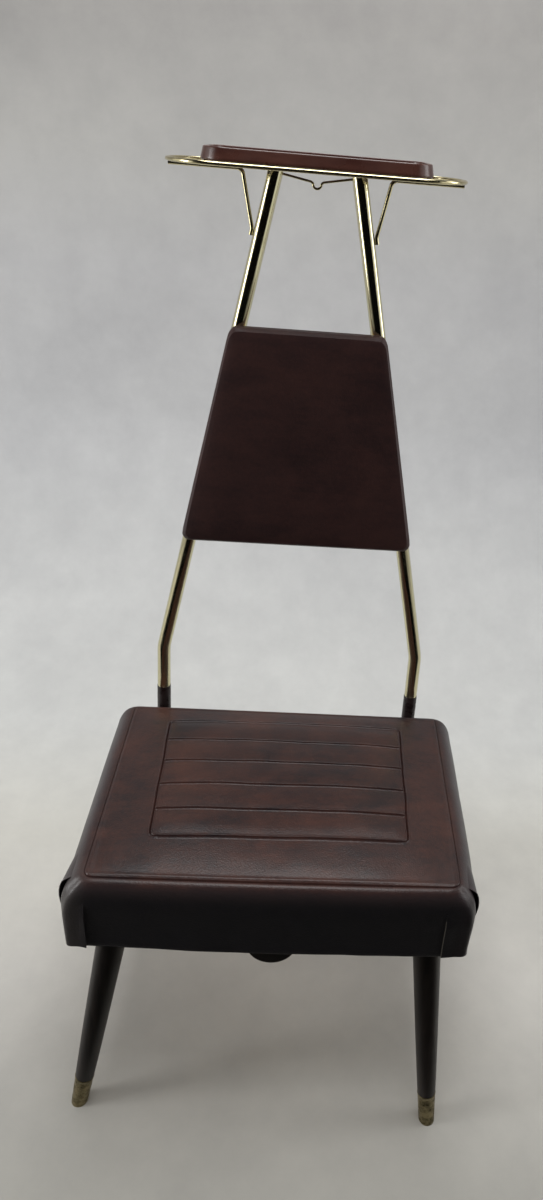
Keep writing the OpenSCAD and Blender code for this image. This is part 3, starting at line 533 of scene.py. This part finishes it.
# Bolts through the tubes into the box's blocks, and screws through them into the back
bolt_brass = coat("bolt_brass", worn_metal, {"Bright": (0.62, 0.51, 0.28, 1), "Dull": (0.25, 0.19, 0.09, 1),
                                             "Wear": 0.7, "Polish": 0.2}, metal)
dress(bolt_brass, "upright_bolts", "back_screws")


# ---- Hanger ring, cross wires, braces and hook -------------
# 5 mm brass-plated wire: a long loop with round ends lies under the tray, two short wires
# cross it, and two braces run from its ends to the tubes. Every joint is a weld.
wire_brass = coat("bright_wire_brass", worn_metal, {
    "Bright": (0.68, 0.61, 0.38, 1), "Dull": (0.32, 0.26, 0.13, 1), "Wear": 0.34, "Polish": 0.12,
    "Patches": 70.0, "Dents": 0.00003}, metal)
ring_low, ring_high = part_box("hanger_ring")
wire_radius, ring_bend = 0.0025, 0.062
ring_z, ring_x = (ring_low.z + ring_high.z) / 2, ring_high.x - wire_radius
ring_y = (ring_high.y - ring_low.y) / 2 - wire_radius
half_front, whole_side, quarter = ring_x - ring_bend, 2 * (ring_y - ring_bend), (90, ring_bend)
ring = bend_wire((0, -ring_y), 0, [half_front, quarter, whole_side, quarter, 2 * half_front, quarter,
                                   whole_side, quarter, half_front], wire_radius, closed=True)
bmesh.ops.rotate(ring, verts=ring.verts[:], matrix=Matrix.Rotation(-math.pi / 2, 3, "X"))
shift(ring, y=tube_y, z=ring_z)
add_piece("wire_ring", ring, wire_brass, "root", ["hanger_ring"])

cross_low, cross_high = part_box("cross_wires")
crosses = bmesh.new()
for side, _ in sides:
    place = Matrix.Translation((side * (cross_high.x - wire_radius), tube_y, ring_z))
    bmesh.ops.create_cone(crosses, segments=24, radius1=wire_radius, radius2=wire_radius,
                          depth=cross_high.y - cross_low.y, cap_ends=True,
                          matrix=place @ Matrix.Rotation(math.pi / 2, 4, "X"))
add_piece("wire_crosses", crosses, wire_brass, "root", ["cross_wires"])

# Each brace runs out under the ring, turns down to its tube and lies along it to the end
brace_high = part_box("brace_right")[1]
brace_bend_x, brace_drop, foot_length = 0.091, 0.074, 0.008
beside = (tube_radius + wire_radius) / math.cos(lean_in) + 0.00002
run_z, foot = brace_high.z - wire_radius, ring_z - brace_drop
course = [(brace_high.x, run_z), (brace_bend_x, run_z, 0.008), (tube_x(foot) + beside, foot, 0.012),
          (tube_x(foot - foot_length) + beside, foot - foot_length)]
heading, moves = wire_moves(course)
for side, name in sides:
    brace = bend_wire(course[0], heading, moves, wire_radius)
    set_at(brace, side)
    add_piece("wire_brace_" + name, brace, wire_brass, "root", ["brace_" + name])

# The hook is bent from one thin wire whose ends are welded to the tubes
hook_wire_radius, hook_radius, hook_end = 0.0015, 0.005, ring_z - 0.006
shoulder = ring_z - 0.014
bottom = shoulder - 0.008
end_x, end_z = tube_x(hook_end) - 0.0096 * math.cos(lean_in), hook_end - tube_radius * math.sin(lean_in)
half = [(end_x, end_z, 0), (hook_radius + 0.003, shoulder, 0.0025),
        (hook_radius, bottom + hook_radius + 0.001, 0.002), (hook_radius, bottom, hook_radius * 0.98)]
course = half + [(-x, z, bend) for x, z, bend in reversed(half)]
heading, moves = wire_moves(course)
hook = bend_wire(course[0], heading, moves, hook_wire_radius, segments=16)
shift(hook, y=tube_y)
add_piece("wire_hook", hook, wire_brass, "root", ["hook_wire"])
dress(wire_brass, "tray_straps")


# ---- Tray --------------------------------------------------
# A shallow moulded dish, glossy maroon-brown. Its walls lean in to a thin round rim, and
# its floor meets them in a soft hollow.
tray_gloss, shader, nodes = finish("tray_gloss")
where = nodes.object_place()
swirl = nodes.clouds(nodes.stretch(where, (12.0, 46.0, 46.0)), 1.0, 4.0, Roughness=0.6)
moulded = nodes.clouds(where, 22.0, 1.0)
nodes.feed(shader, {
    "Base Color": nodes.ramp(swirl, (0.35, (0.055, 0.0195, 0.0150, 1)), (0.70, (0.100, 0.0390, 0.0285, 1))),
    "Roughness": nodes.spread(nodes.clouds(where, 40.0, 4.0), 0.3, 0.7, 0.24, 0.38),
    "Normal": nodes.bump(moulded, 0.0006, 0.35), "Coat Weight": 0.25, "Coat Roughness": 0.12})

tray_low, tray_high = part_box("tray")
tray_w, tray_d, tray_corner, first_inset = tray_high.x - tray_low.x, tray_high.y - tray_low.y, 0.030, 0.0022


def draw_outline(mesh, edges, rings, place):
    """Draws a closed outline on through rings. Each new point keeps its outline's layers, by which it is placed."""
    for ring in rings:
        fresh, edges = draw_on(mesh, edges)
        for v in fresh:
            v.co = place(v, ring)
    return edges


def tenths(*pairs):
    """The points of a section, from tenths of a millimetre."""
    return [(a / 10000, b / 10000) for a, b in pairs]


dish = bmesh.new()
facing, plan = [dish.verts.layers.float_vector.new(name) for name in ("facing", "plan")]
bmesh.ops.create_grid(dish, x_segments=1, y_segments=1, size=0.5)
bmesh.ops.scale(dish, vec=(tray_w, tray_d, 1), verts=dish.verts[:])
bmesh.ops.bevel(dish, geom=dish.verts[:], offset=tray_corner, segments=20, profile=0.5, affect="VERTICES",
                material=-1)
reach_x, reach_y = tray_w / 2 - tray_corner, tray_d / 2 - tray_corner
for v in dish.verts:
    heart = Vector((max(min(v.co.x, reach_x), -reach_x), max(min(v.co.y, reach_y), -reach_y), 0))
    v[facing], v[plan] = (v.co - heart).normalized(), v.co
    v.co = v.co - v[facing] * first_inset
# The wall's section, as (in from the outline, height): foot, outside, rim, inside, hollow
walls = tenths((10, 4), (2, 13), (0, 26))
walls += [(0.0025 * t / 6, 0.0026 + 0.0112 * t / 6) for t in range(1, 7)]
walls += tenths((27, 146), (31, 152), (37, 155), (43, 155), (48, 152), (50, 145))
walls += [(0.0050 + 0.0006 * t / 4, 0.0145 - 0.0080 * t / 4) for t in range(1, 5)]
walls += tenths((62, 50), (74, 39), (92, 32), (115, 30))
edges = draw_outline(dish, dish.edges[:], walls,
                     lambda v, ring: v[plan] - v[facing] * ring[0] + Vector((0, 0, ring[1])))
bmesh.ops.contextual_create(dish, geom=edges)
shift(dish, y=tube_y, z=tray_low.z)
add_piece("moulded_tray", dish, tray_gloss, "root", ["tray"], sharp=50)


# ---- Back pad ----------------------------------------------
# Foam on a thin board, under brown vinyl that is drawn round the edges. It is a flat
# trapezoid with soft round edges, screwed to the front of the tubes.
back_vinyl = coat("back_vinyl", vinyl_grain, {
    "Dark": (0.027, 0.0115, 0.0120, 1), "Warm": (0.058, 0.0215, 0.0185, 1), "Pebbles": 700.0, "Warmth": 0.8,
    "Shine": 0.40, "Depth": 0.00022}, {"Specular IOR Level": 0.4})
pad_low, pad_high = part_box("back_pad")
pad_corner, pad_over = 0.014, 0.011


def grid_lines(low, high, marks, near, step):
    """Grid lines that lie close together beside the marks and evenly between them."""
    lines = {low, high}
    for mark in marks:
        lines |= {mark + side * gap for side in (-1, 1) for gap in near if low < mark + side * gap < high}
    lines = sorted(lines)
    kept = [lines[0]]
    for line in lines[1:]:
        if line - kept[-1] > 0.0003:
            gaps = max(1, round((line - kept[-1]) / step))
            first = kept[-1]
            kept += [first + (line - first) * (i + 1) / gaps for i in range(gaps)]
    return kept


def lay_grid(mesh, xs, ys):
    """A flat grid with its columns at xs and its rows at ys."""
    bmesh.ops.create_grid(mesh, x_segments=len(xs) - 1, y_segments=len(ys) - 1, size=0.5)
    for v in mesh.verts:
        v.co = (xs[round((v.co.x + 0.5) * (len(xs) - 1))], ys[round((v.co.y + 0.5) * (len(ys) - 1))], 0)


def round_corner(x, y, half_x, low_y, high_y, radius):
    """Draws the corner of a grid in to a round one. Gives the new place, and the way out at the grid's edge."""
    heart_x = max(min(x, half_x - radius), radius - half_x)
    heart_y = max(min(y, high_y - radius), low_y + radius)
    off = Vector((x - heart_x, y - heart_y))
    if off.length < 1e-9:
        return Vector((x, y, 0)), Vector((0, 0, 0))
    reach = max(abs(off.x), abs(off.y))
    way = off.normalized()
    return Vector((heart_x + way.x * reach, heart_y + way.y * reach, 0)), Vector((way.x, way.y, 0))


pad_bottom, pad_height = pad_low.z, pad_high.z - pad_low.z
half_low, half_high = tube_x(pad_low.z) + pad_over, tube_x(pad_high.z) + pad_over
pad_rear, pad_thick = pad_high.y, pad_high.y - pad_low.y
edge_steps = (0.0, 0.0012, 0.0026, 0.0044, 0.0066, 0.010)
pad = bmesh.new()
seam, facing = [pad.verts.layers.float_vector.new(name) for name in ("seam", "facing")]
lay_grid(pad, grid_lines(-half_low, half_low, (-half_low, half_low), edge_steps, 0.008),
         grid_lines(0, pad_height, (0, pad_height), edge_steps, 0.008))
rim = [e for e in pad.edges if e.is_boundary]


def pad_plan(x, z, way, inset):
    """A place on the pad's outline or inside it, with the straight sides drawn in to the top."""
    narrow = (half_low + (half_high - half_low) * z / pad_height) / half_low
    return Vector((x * narrow - way.x * inset, 0, z - way.y * inset))


for v in pad.verts:
    spot, way = round_corner(v.co.x, v.co.y, half_low, 0, pad_height, pad_corner)
    v[seam], v[facing] = spot, way
    x = spot.x * (1 - 0.0045 / half_low)
    z = (spot.y - pad_height / 2) * (1 - 0.009 / pad_height) + pad_height / 2
    v.co = pad_plan(x, z, Vector((0, 0, 0)), 0)
    from_edge = max(0.0, min(half_low - abs(x), z, pad_height - z))
    crown = 1 - math.exp(-from_edge / 0.010)
    dents = noise.noise(v.co * 16) * 0.0007 + noise.noise(v.co * 45 + Vector((3, 1, 7))) * 0.00022
    v.co.y = -(pad_thick * 0.765 + 0.0031 * crown + dents * crown)
# The edge's section, as (in from the outline, forward of the pad's rear)
pad_edge = tenths(
    (24, 84), (10, 66), (2, 46), (0, 26), (1, 8), (5, -2), (4, -12), (1, -24), (1, -40), (3, -52), (9, -59),
    (19, -59), (19, -30), (19, -1))


def pad_side(v, ring):
    place = pad_plan(v[seam].x, v[seam].y, v[facing], ring[0])
    place.y = -ring[1]
    return place


edges = draw_outline(pad, rim, pad_edge, pad_side)
bmesh.ops.contextual_create(pad, geom=edges)
shift(pad, y=pad_rear, z=pad_bottom)
back_cover = add_piece("back_pad_cover", pad, back_vinyl, "root", ["back_pad"])


# ---- Seat cover --------------------------------------------
# One vinyl cover over foam: a crowned top with a stitched rectangle of five channels, and
# a border sewn on all round. The border rolls out and hangs on as the skirt, to its hem.
seat_vinyl, shader, nodes = finish("seat_vinyl")
grain = nodes.new("ShaderNodeGroup", {
    "Dark": (0.0160, 0.0088, 0.0095, 1), "Warm": (0.067, 0.0232, 0.0152, 1), "Pebbles": 620.0, "Warmth": 0.85,
    "Shine": 0.27, "Depth": 0.00040}, node_tree=vinyl_grain).outputs
place = nodes.new("ShaderNodeSeparateXYZ", {"Vector": nodes.object_place()}).outputs
# Painted sheen: the colour pales over the roll
painted_roll_sheen = nodes.spread(place["Z"], 0.3745, 0.3640, 0.0, 0.75, "SMOOTHSTEP")
colour = nodes.blend(painted_roll_sheen, grain["Color"], (0.0330, 0.0255, 0.0272, 1))
# Painted shade: the colour is near black where the skirt hangs, and less dark towards the corners
outward = nodes.maths("ABSOLUTE", place["X"])
painted_skirt_shade = nodes.maths("MULTIPLY", nodes.spread(place["Z"], 0.369, 0.346, way="SMOOTHSTEP"),
                      nodes.spread(outward, 0.206, 0.236, 0.90, 0.50, "SMOOTHSTEP"))
colour = nodes.blend(painted_skirt_shade, colour, (0.0185, 0.0178, 0.0208, 1))
# Painted light: the left front corner is lit grey from the left
painted_corner_light = nodes.maths("MULTIPLY", nodes.spread(place["X"], -0.209, -0.232, 0.0, 0.7, "SMOOTHSTEP"),
                      nodes.spread(place["Y"], -0.150, -0.205, way="SMOOTHSTEP"))
colour = nodes.blend(painted_corner_light, colour, (0.0700, 0.0625, 0.0610, 1))
# Painted highlight: a pale line along the cut edge of the right flap
edge_x, edge_half_width, edge_top, edge_rear = 0.2024, 0.0005, 0.3325, -0.195
painted_edge_highlight = nodes.maths("MULTIPLY", nodes.maths("COMPARE", place["X"], edge_x, edge_half_width),
                      nodes.maths("LESS_THAN", place["Z"], edge_top))
painted_edge_highlight = nodes.maths("MULTIPLY", painted_edge_highlight, nodes.maths("LESS_THAN", place["Y"], edge_rear))
colour = nodes.blend(painted_edge_highlight, colour, (0.115, 0.105, 0.090, 1))
nodes.feed(shader, {"Base Color": colour, "Roughness": grain["Roughness"], "Normal": grain["Normal"],
                    "Specular IOR Level": 0.38})

seat_half, seat_depth, seam_z = 0.217, 0.317, 0.372
seam_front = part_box("seat_board")[0].y + 0.0082
channel = 0.0443
stitched = [0.059 + channel * i for i in range(6)]
stitched_half, stitched_corner, seat_corner = 0.159, 0.008, 0.010
beside_stitch = (0.0, 0.0006, 0.0012, 0.0019, 0.0027, 0.0036, 0.0048, 0.0064, 0.0085)
beside_seam = (0.0, 0.0006, 0.0013, 0.0021, 0.0030, 0.0040, 0.0052, 0.0068, 0.0088, 0.012)


def sew_askew(x, y):
    """Where the needle went: the lines waver, and the rectangle lies askew and widens to the rear."""
    back, across = (y - stitched[0]) / (stitched[-1] - stitched[0]), x / stitched_half
    loose = min(1, max(0, min(seat_half - abs(x), y, seat_depth - y)) / 0.03)
    waver = 0.0011 * noise.noise(Vector((x * 15, y * 23, 0.7)))
    return (x + loose * ((0.040 * back - 0.022) * x + 0.0030 * (1 - back) + waver),
            y + loose * (waver - (0.0018 - 0.0018 * across - 0.0015 * across ** 2) * (1 - back)))


def stitch_distance(x, y):
    """Distance to the nearest sewn line, and how far a point is out of the rectangle."""
    dx = abs(x) - (stitched_half - stitched_corner)
    middle, reach = (stitched[0] + stitched[-1]) / 2, (stitched[-1] - stitched[0]) / 2
    dy = abs(y - middle) - (reach - stitched_corner)
    outside = math.hypot(max(dx, 0), max(dy, 0)) + min(max(dx, dy), 0) - stitched_corner
    inner = [abs(y - line) for line in stitched[1:-1]] if outside < 0 else []
    return min([abs(outside)] + inner), outside


def splay(y):
    """The seat is a little wider at the rear than at the front."""
    return 1 + 0.020 * min(max(y / seat_depth, 0), 1)


def top_height(x, y):
    """Height of the seat's top above its seam."""
    across, along = 1 - abs(x / seat_half) ** 3, 1 - abs(2 * y / seat_depth - 1) ** 3
    height = 0.012 * max(across, 0) ** 0.8 * max(along, 0) ** 0.8
    nearest, outside = stitch_distance(x, y)
    height += 0.0011 * math.exp(-((nearest - 0.0017) / 0.0008) ** 2) - 0.0014 * math.exp(-(nearest / 0.0006) ** 2)
    if outside < 0:
        row = (y - stitched[0]) / channel % 1
        height += 0.0015 * math.sin(math.pi * row) ** 0.7 * min(1, -outside / 0.012)
    from_seam = min(seat_half - abs(x), y, seat_depth - y)
    height += 0.0010 * math.exp(-((from_seam - 0.0034) / 0.0018) ** 2)
    calm = min(1, from_seam / 0.02)
    broad, fine = noise.noise(Vector((x * 7, y * 9, 0.2))), noise.noise(Vector((x * 26, y * 30, 4.4)))
    return height + calm * (0.0016 * broad + 0.0005 * fine)


# The border's section at the front, at a side and at the rear: (out from the seam, height)
section_front = tenths(
    (2, 3706), (10, 3714), (23, 3718), (40, 3717), (60, 3708), (80, 3691), (98, 3666), (113, 3632), (125, 3589),
    (133, 3537), (137, 3470), (136, 3380), (130, 3280), (121, 3170), (113, 3060), (107, 2955), (103, 2852),
    (103, 2775), (104, 2724), (101, 2714), (93, 2710), (86, 2716), (84, 2735), (84, 3000), (84, 3299))
section_side = tenths(
    (2, 3704), (12, 3714), (30, 3716), (55, 3708), (85, 3693), (116, 3671), (148, 3640), (178, 3601),
    (205, 3555), (228, 3500), (245, 3435), (254, 3360), (254, 3270), (247, 3165), (237, 3060), (227, 2955),
    (218, 2855), (211, 2778), (207, 2724), (203, 2714), (195, 2710), (186, 2716), (184, 2735), (184, 3000),
    (184, 3299))
section_rear = tenths(
    (2, 3704), (8, 3712), (15, 3712), (23, 3705), (32, 3693), (40, 3674), (47, 3648), (53, 3612), (57, 3570),
    (60, 3525), (61, 3475), (60, 3425), (57, 3380), (53, 3340), (47, 3305), (40, 3278), (33, 3252), (28, 3230),
    (25, 3213), (22, 3203), (18, 3200), (13, 3204), (12, 3215), (12, 3260), (12, 3299))
hem_depth = 21  # from here on the section is the hem turned in, and hangs plain
slit_x, slit_top, skirt_thickness = 0.2055, 0.3325, 0.0010


def hang_share(z):
    """From 0 where the skirt starts to hang to 1 at its hem."""
    return min(max((0.345 - z) / 0.07, 0), 1)


def border_place(seam_point, way, depth, stand_off=0.0):
    """A place on the border below a seam point. Depth counts along the section, and need not be whole."""
    depth = min(max(depth, 0), len(section_side) - 1)
    i = min(int(depth), len(section_side) - 2)
    share = depth - i

    def at(section):
        return [section[i][k] + (section[i + 1][k] - section[i][k]) * share for k in (0, 1)]

    end, side = at(section_rear if way.y > 0 else section_front), at(section_side)
    z = side[1] * way.x ** 2 + end[1] * way.y ** 2
    square = 2 + 3.0 * min(max((depth - 1) / 5, 0), 1) if way.y > 0 else 2 + 6 * min(max((depth - 6) / 11, 0), 1)
    fuller = (abs(way.x) ** square + abs(way.y) ** square) ** (-1 / square)
    rounding = seat_corner * (fuller - 1)
    place = Vector((seam_point.x + way.x * (rounding + fuller * (side[0] + stand_off)),
                    seam_point.y + way.y * (rounding + fuller * (end[0] + stand_off)), z))
    if depth < hem_depth:
        hang = hang_share(z)
        ripple = 0.0016 * noise.noise(Vector((place.x * 11, place.y * 11, z * 5 + 2.2)))
        ripple += 0.0006 * noise.noise(Vector((place.x * 34, place.y * 34, z * 12)))
        swell = min(1, depth / 4)
        place += way * (ripple * (0.35 + 0.65 * hang) * swell * (1 if way.y < 0.1 else 0.1))
        turn = math.atan2(abs(way.x), -way.y)
        if 0 < turn < math.pi / 2:
            pleats = math.sin(turn * 10 + z * 24) * math.sin(2 * turn) ** 2
            pleats *= min(1, depth / 9) ** 1.5 * (1 - 0.5 * hang)
            place += way * (pleats * (0.0013 if way.x < 0 else 0.0008))
        if place.x > 0:  # the right front corner is pulled tight
            place.x -= 0.0040 * math.exp(-(place.y / 0.05) ** 2) * min(1, depth / 5)
        if way.y < -0.5:  # a pucker at the top of the right slit
            from_slit = Vector((place.x - slit_x, place.z - slit_top))
            star = 1 + 0.6 * math.cos(5 * math.atan2(from_slit.y, from_slit.x))
            place.y += 0.0011 * math.exp(-(from_slit.length / 0.006) ** 2) * star
    place.x *= splay(place.y)
    return place


cover = bmesh.new()
seam, facing = [cover.verts.layers.float_vector.new(name) for name in ("seam", "facing")]
columns = grid_lines(-seat_half, seat_half, (-stitched_half, stitched_half), beside_stitch, 0.2)[1:-1]
columns += grid_lines(-seat_half, seat_half, (-seat_half, seat_half), beside_seam, 0.2)
columns = grid_lines(-seat_half, seat_half, sorted(set(columns) - {-seat_half, seat_half}), (0.0,), 0.005)
rows = {y for line in stitched for gap in beside_stitch for y in (line - gap, line + gap)}
rows |= {y for gap in beside_seam for y in (gap, seat_depth - gap)}
rows = grid_lines(0, seat_depth, sorted(rows), (0.0,), 0.005)
lay_grid(cover, columns, rows)
rim = [e for e in cover.edges if e.is_boundary]
for v in cover.verts:
    spot, way = round_corner(v.co.x, v.co.y, seat_half, 0, seat_depth, seat_corner)
    front_bow = 0.0016 * max(0, 1 - (spot.x / seat_half) ** 2) * max(0, 1 - spot.y / 0.05)
    v[seam] = (spot.x, spot.y - front_bow, 0)
    v[facing] = way
    sewn_x, sewn_y = sew_askew(spot.x, spot.y)
    tucked = 0.0008 if v.is_boundary else 0
    v.co = (sewn_x, sewn_y - front_bow, seam_z + top_height(spot.x, spot.y) - tucked)
    v.co.x *= splay(v.co.y)


def border_ring(v, depth):
    """The border, with its hem drawn up at the front, and most at the left corner."""
    place = border_place(v[seam], v[facing], depth)
    hang = hang_share(place.z) * min(max(-v[facing].y * 1.6 - 0.3, 0), 1)
    drawn_up = 0.0010 + 0.0045 * max(0, -place.x / 0.21) ** 1.5
    place.z += hang * drawn_up * (1 if depth < hem_depth else 0.6)
    return place


edges = draw_outline(cover, rim, range(len(section_side)), border_ring)
bmesh.ops.contextual_create(cover, geom=edges)
shift(cover, y=seam_front)
seat_cover = add_piece("seat_cover", cover, seat_vinyl, "lid",
                       ["seat_cushion", "skirt_front", "skirt_left", "skirt_right"], sharp=60)


# At each front corner the side of the skirt wraps round and lies over the front as a
# flap. Above it the spare vinyl is folded into an ear that stands open to the front.
def corner_course(side, shares):
    """Seam points and ways out. From 0 to 1 is the corner, below 0 metres of front, and above 1 metres of side."""
    course = []
    for share in shares:
        angle = math.radians(90 * min(max(share, 0), 1))
        way = Vector((side * math.sin(angle), -math.cos(angle), 0))
        heart = Vector((side * (seat_half - seat_corner + min(share, 0)), seat_corner + max(share - 1, 0), 0))
        course.append((heart + way * seat_corner, way))
    return course


def lay_fold(name, course, levels, place):
    """A fold of vinyl over the border. Place takes a seam point, its way out, a level, and shares back and down."""
    fold = bmesh.new()
    lay_grid(fold, range(len(course)), range(len(levels)))
    for v in fold.verts:
        i, j = round(v.co.x), round(v.co.y)
        v.co = place(*course[i], levels[j], i / (len(course) - 1), j / (len(levels) - 1))
    shift(fold, y=seam_front)
    bmesh.ops.recalc_face_normals(fold, faces=fold.faces[:])
    bmesh.ops.solidify(fold, geom=fold.faces[:], thickness=skirt_thickness)
    add_piece(name, fold, seat_vinyl, "lid", sharp=60)


for side, name, loose, raised, over_front in (
        (-1, "left", 0.0021, 0.0052, [0.12]), (1, "right", 0.0016, 0.0024, [-0.001, 0.04, 0.08, 0.12])):
    def flap_place(spot, way, level, back, down):
        lift = (loose * math.exp(-back / 0.16) + 0.0009 * (1 - back) ** 0.5) * min(1, down / 0.25)
        place = border_place(spot, way, level, lift - 0.0006 * max(0, (back - 0.75) / 0.25))
        place.z += raised * down - 0.0012 * (1 - back) * down
        return place

    def ear_place(spot, way, level, back, down):
        lift = 0.0064 * min(1, down / 0.22) ** 0.7 * (1 - down ** 2) ** 0.8 * (1 - back ** 1.3)
        lift -= 0.0005 * (back + (1 - back) * down ** 8)
        return border_place(spot, way, level) + Vector((side * lift, -0.0010 * (1 - back), 0))

    shares = over_front + [0.12 + 0.88 * i / 40 for i in range(1, 41)] + [1 + 0.028 * i / 6 for i in range(1, 7)]
    levels = [10.2 + 8.9 * i / 26 for i in range(27)]
    lay_fold("skirt_flap_" + name, corner_course(side, shares), levels, flap_place)
    shares = [0.90 + 0.10 * i / 6 for i in range(7)] + [1 + 0.042 * i / 18 for i in range(1, 19)]
    levels = [6.0 + 8.0 * i / 40 for i in range(41)]
    lay_fold("skirt_ear_" + name, corner_course(side, shares), levels, ear_place)


# ---- Lift tab ----------------------------------------------
# A round-ended tongue of the same stained wood, screwed up into the lid's front edge. It
# shows below the hem, to lift the lid by.
tab_wood = coat("lift_tab_wood", wood_grain, {
    "Dark": (0.0045, 0.0030, 0.0026, 1), "Light": (0.016, 0.0100, 0.0075, 1), "Stretch": (9, 200, 200),
    "Shine": 0.30}, {"Specular IOR Level": 0.35})
tab_low, tab_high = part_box("lift_tab")
tab_radius = (tab_high.x - tab_low.x) / 2
tab = bmesh.new()
bmesh.ops.create_circle(tab, segments=96, radius=tab_radius, cap_ends=True)
bmesh.ops.rotate(tab, verts=tab.verts[:], matrix=Matrix.Rotation(math.pi / 2, 3, "X"))
for v in tab.verts:
    v.co.z = tab_low.z + tab_radius + v.co.z if v.co.z < 1e-6 else tab_high.z
    if v.co.z == tab_high.z:
        v.co.x = max(min(v.co.x * 50, tab_radius), -tab_radius)
bmesh.ops.remove_doubles(tab, verts=tab.verts[:], dist=1e-6)
out = bmesh.ops.extrude_face_region(tab, geom=tab.faces[:])["geom"]
bmesh.ops.translate(tab, verts=verts_of(out), vec=(0, tab_high.y - tab_low.y, 0))
bmesh.ops.recalc_face_normals(tab, faces=tab.faces[:])
around = [e for e in tab.edges if abs(e.verts[0].co.y - e.verts[1].co.y) < 1e-6
          and min(v.co.z for v in e.verts) < tab_high.z - 0.001]
bmesh.ops.bevel(tab, geom=around, offset=0.002, segments=4, profile=0.5, affect="EDGES", material=-1)
shift(tab, y=tab_low.y)
add_piece("lift_tongue", tab, tab_wood, "lid", ["lift_tab"])


# ---- Last update -------------------------------------------
# The view layer is brought up to date.
bpy.context.view_layer.update()
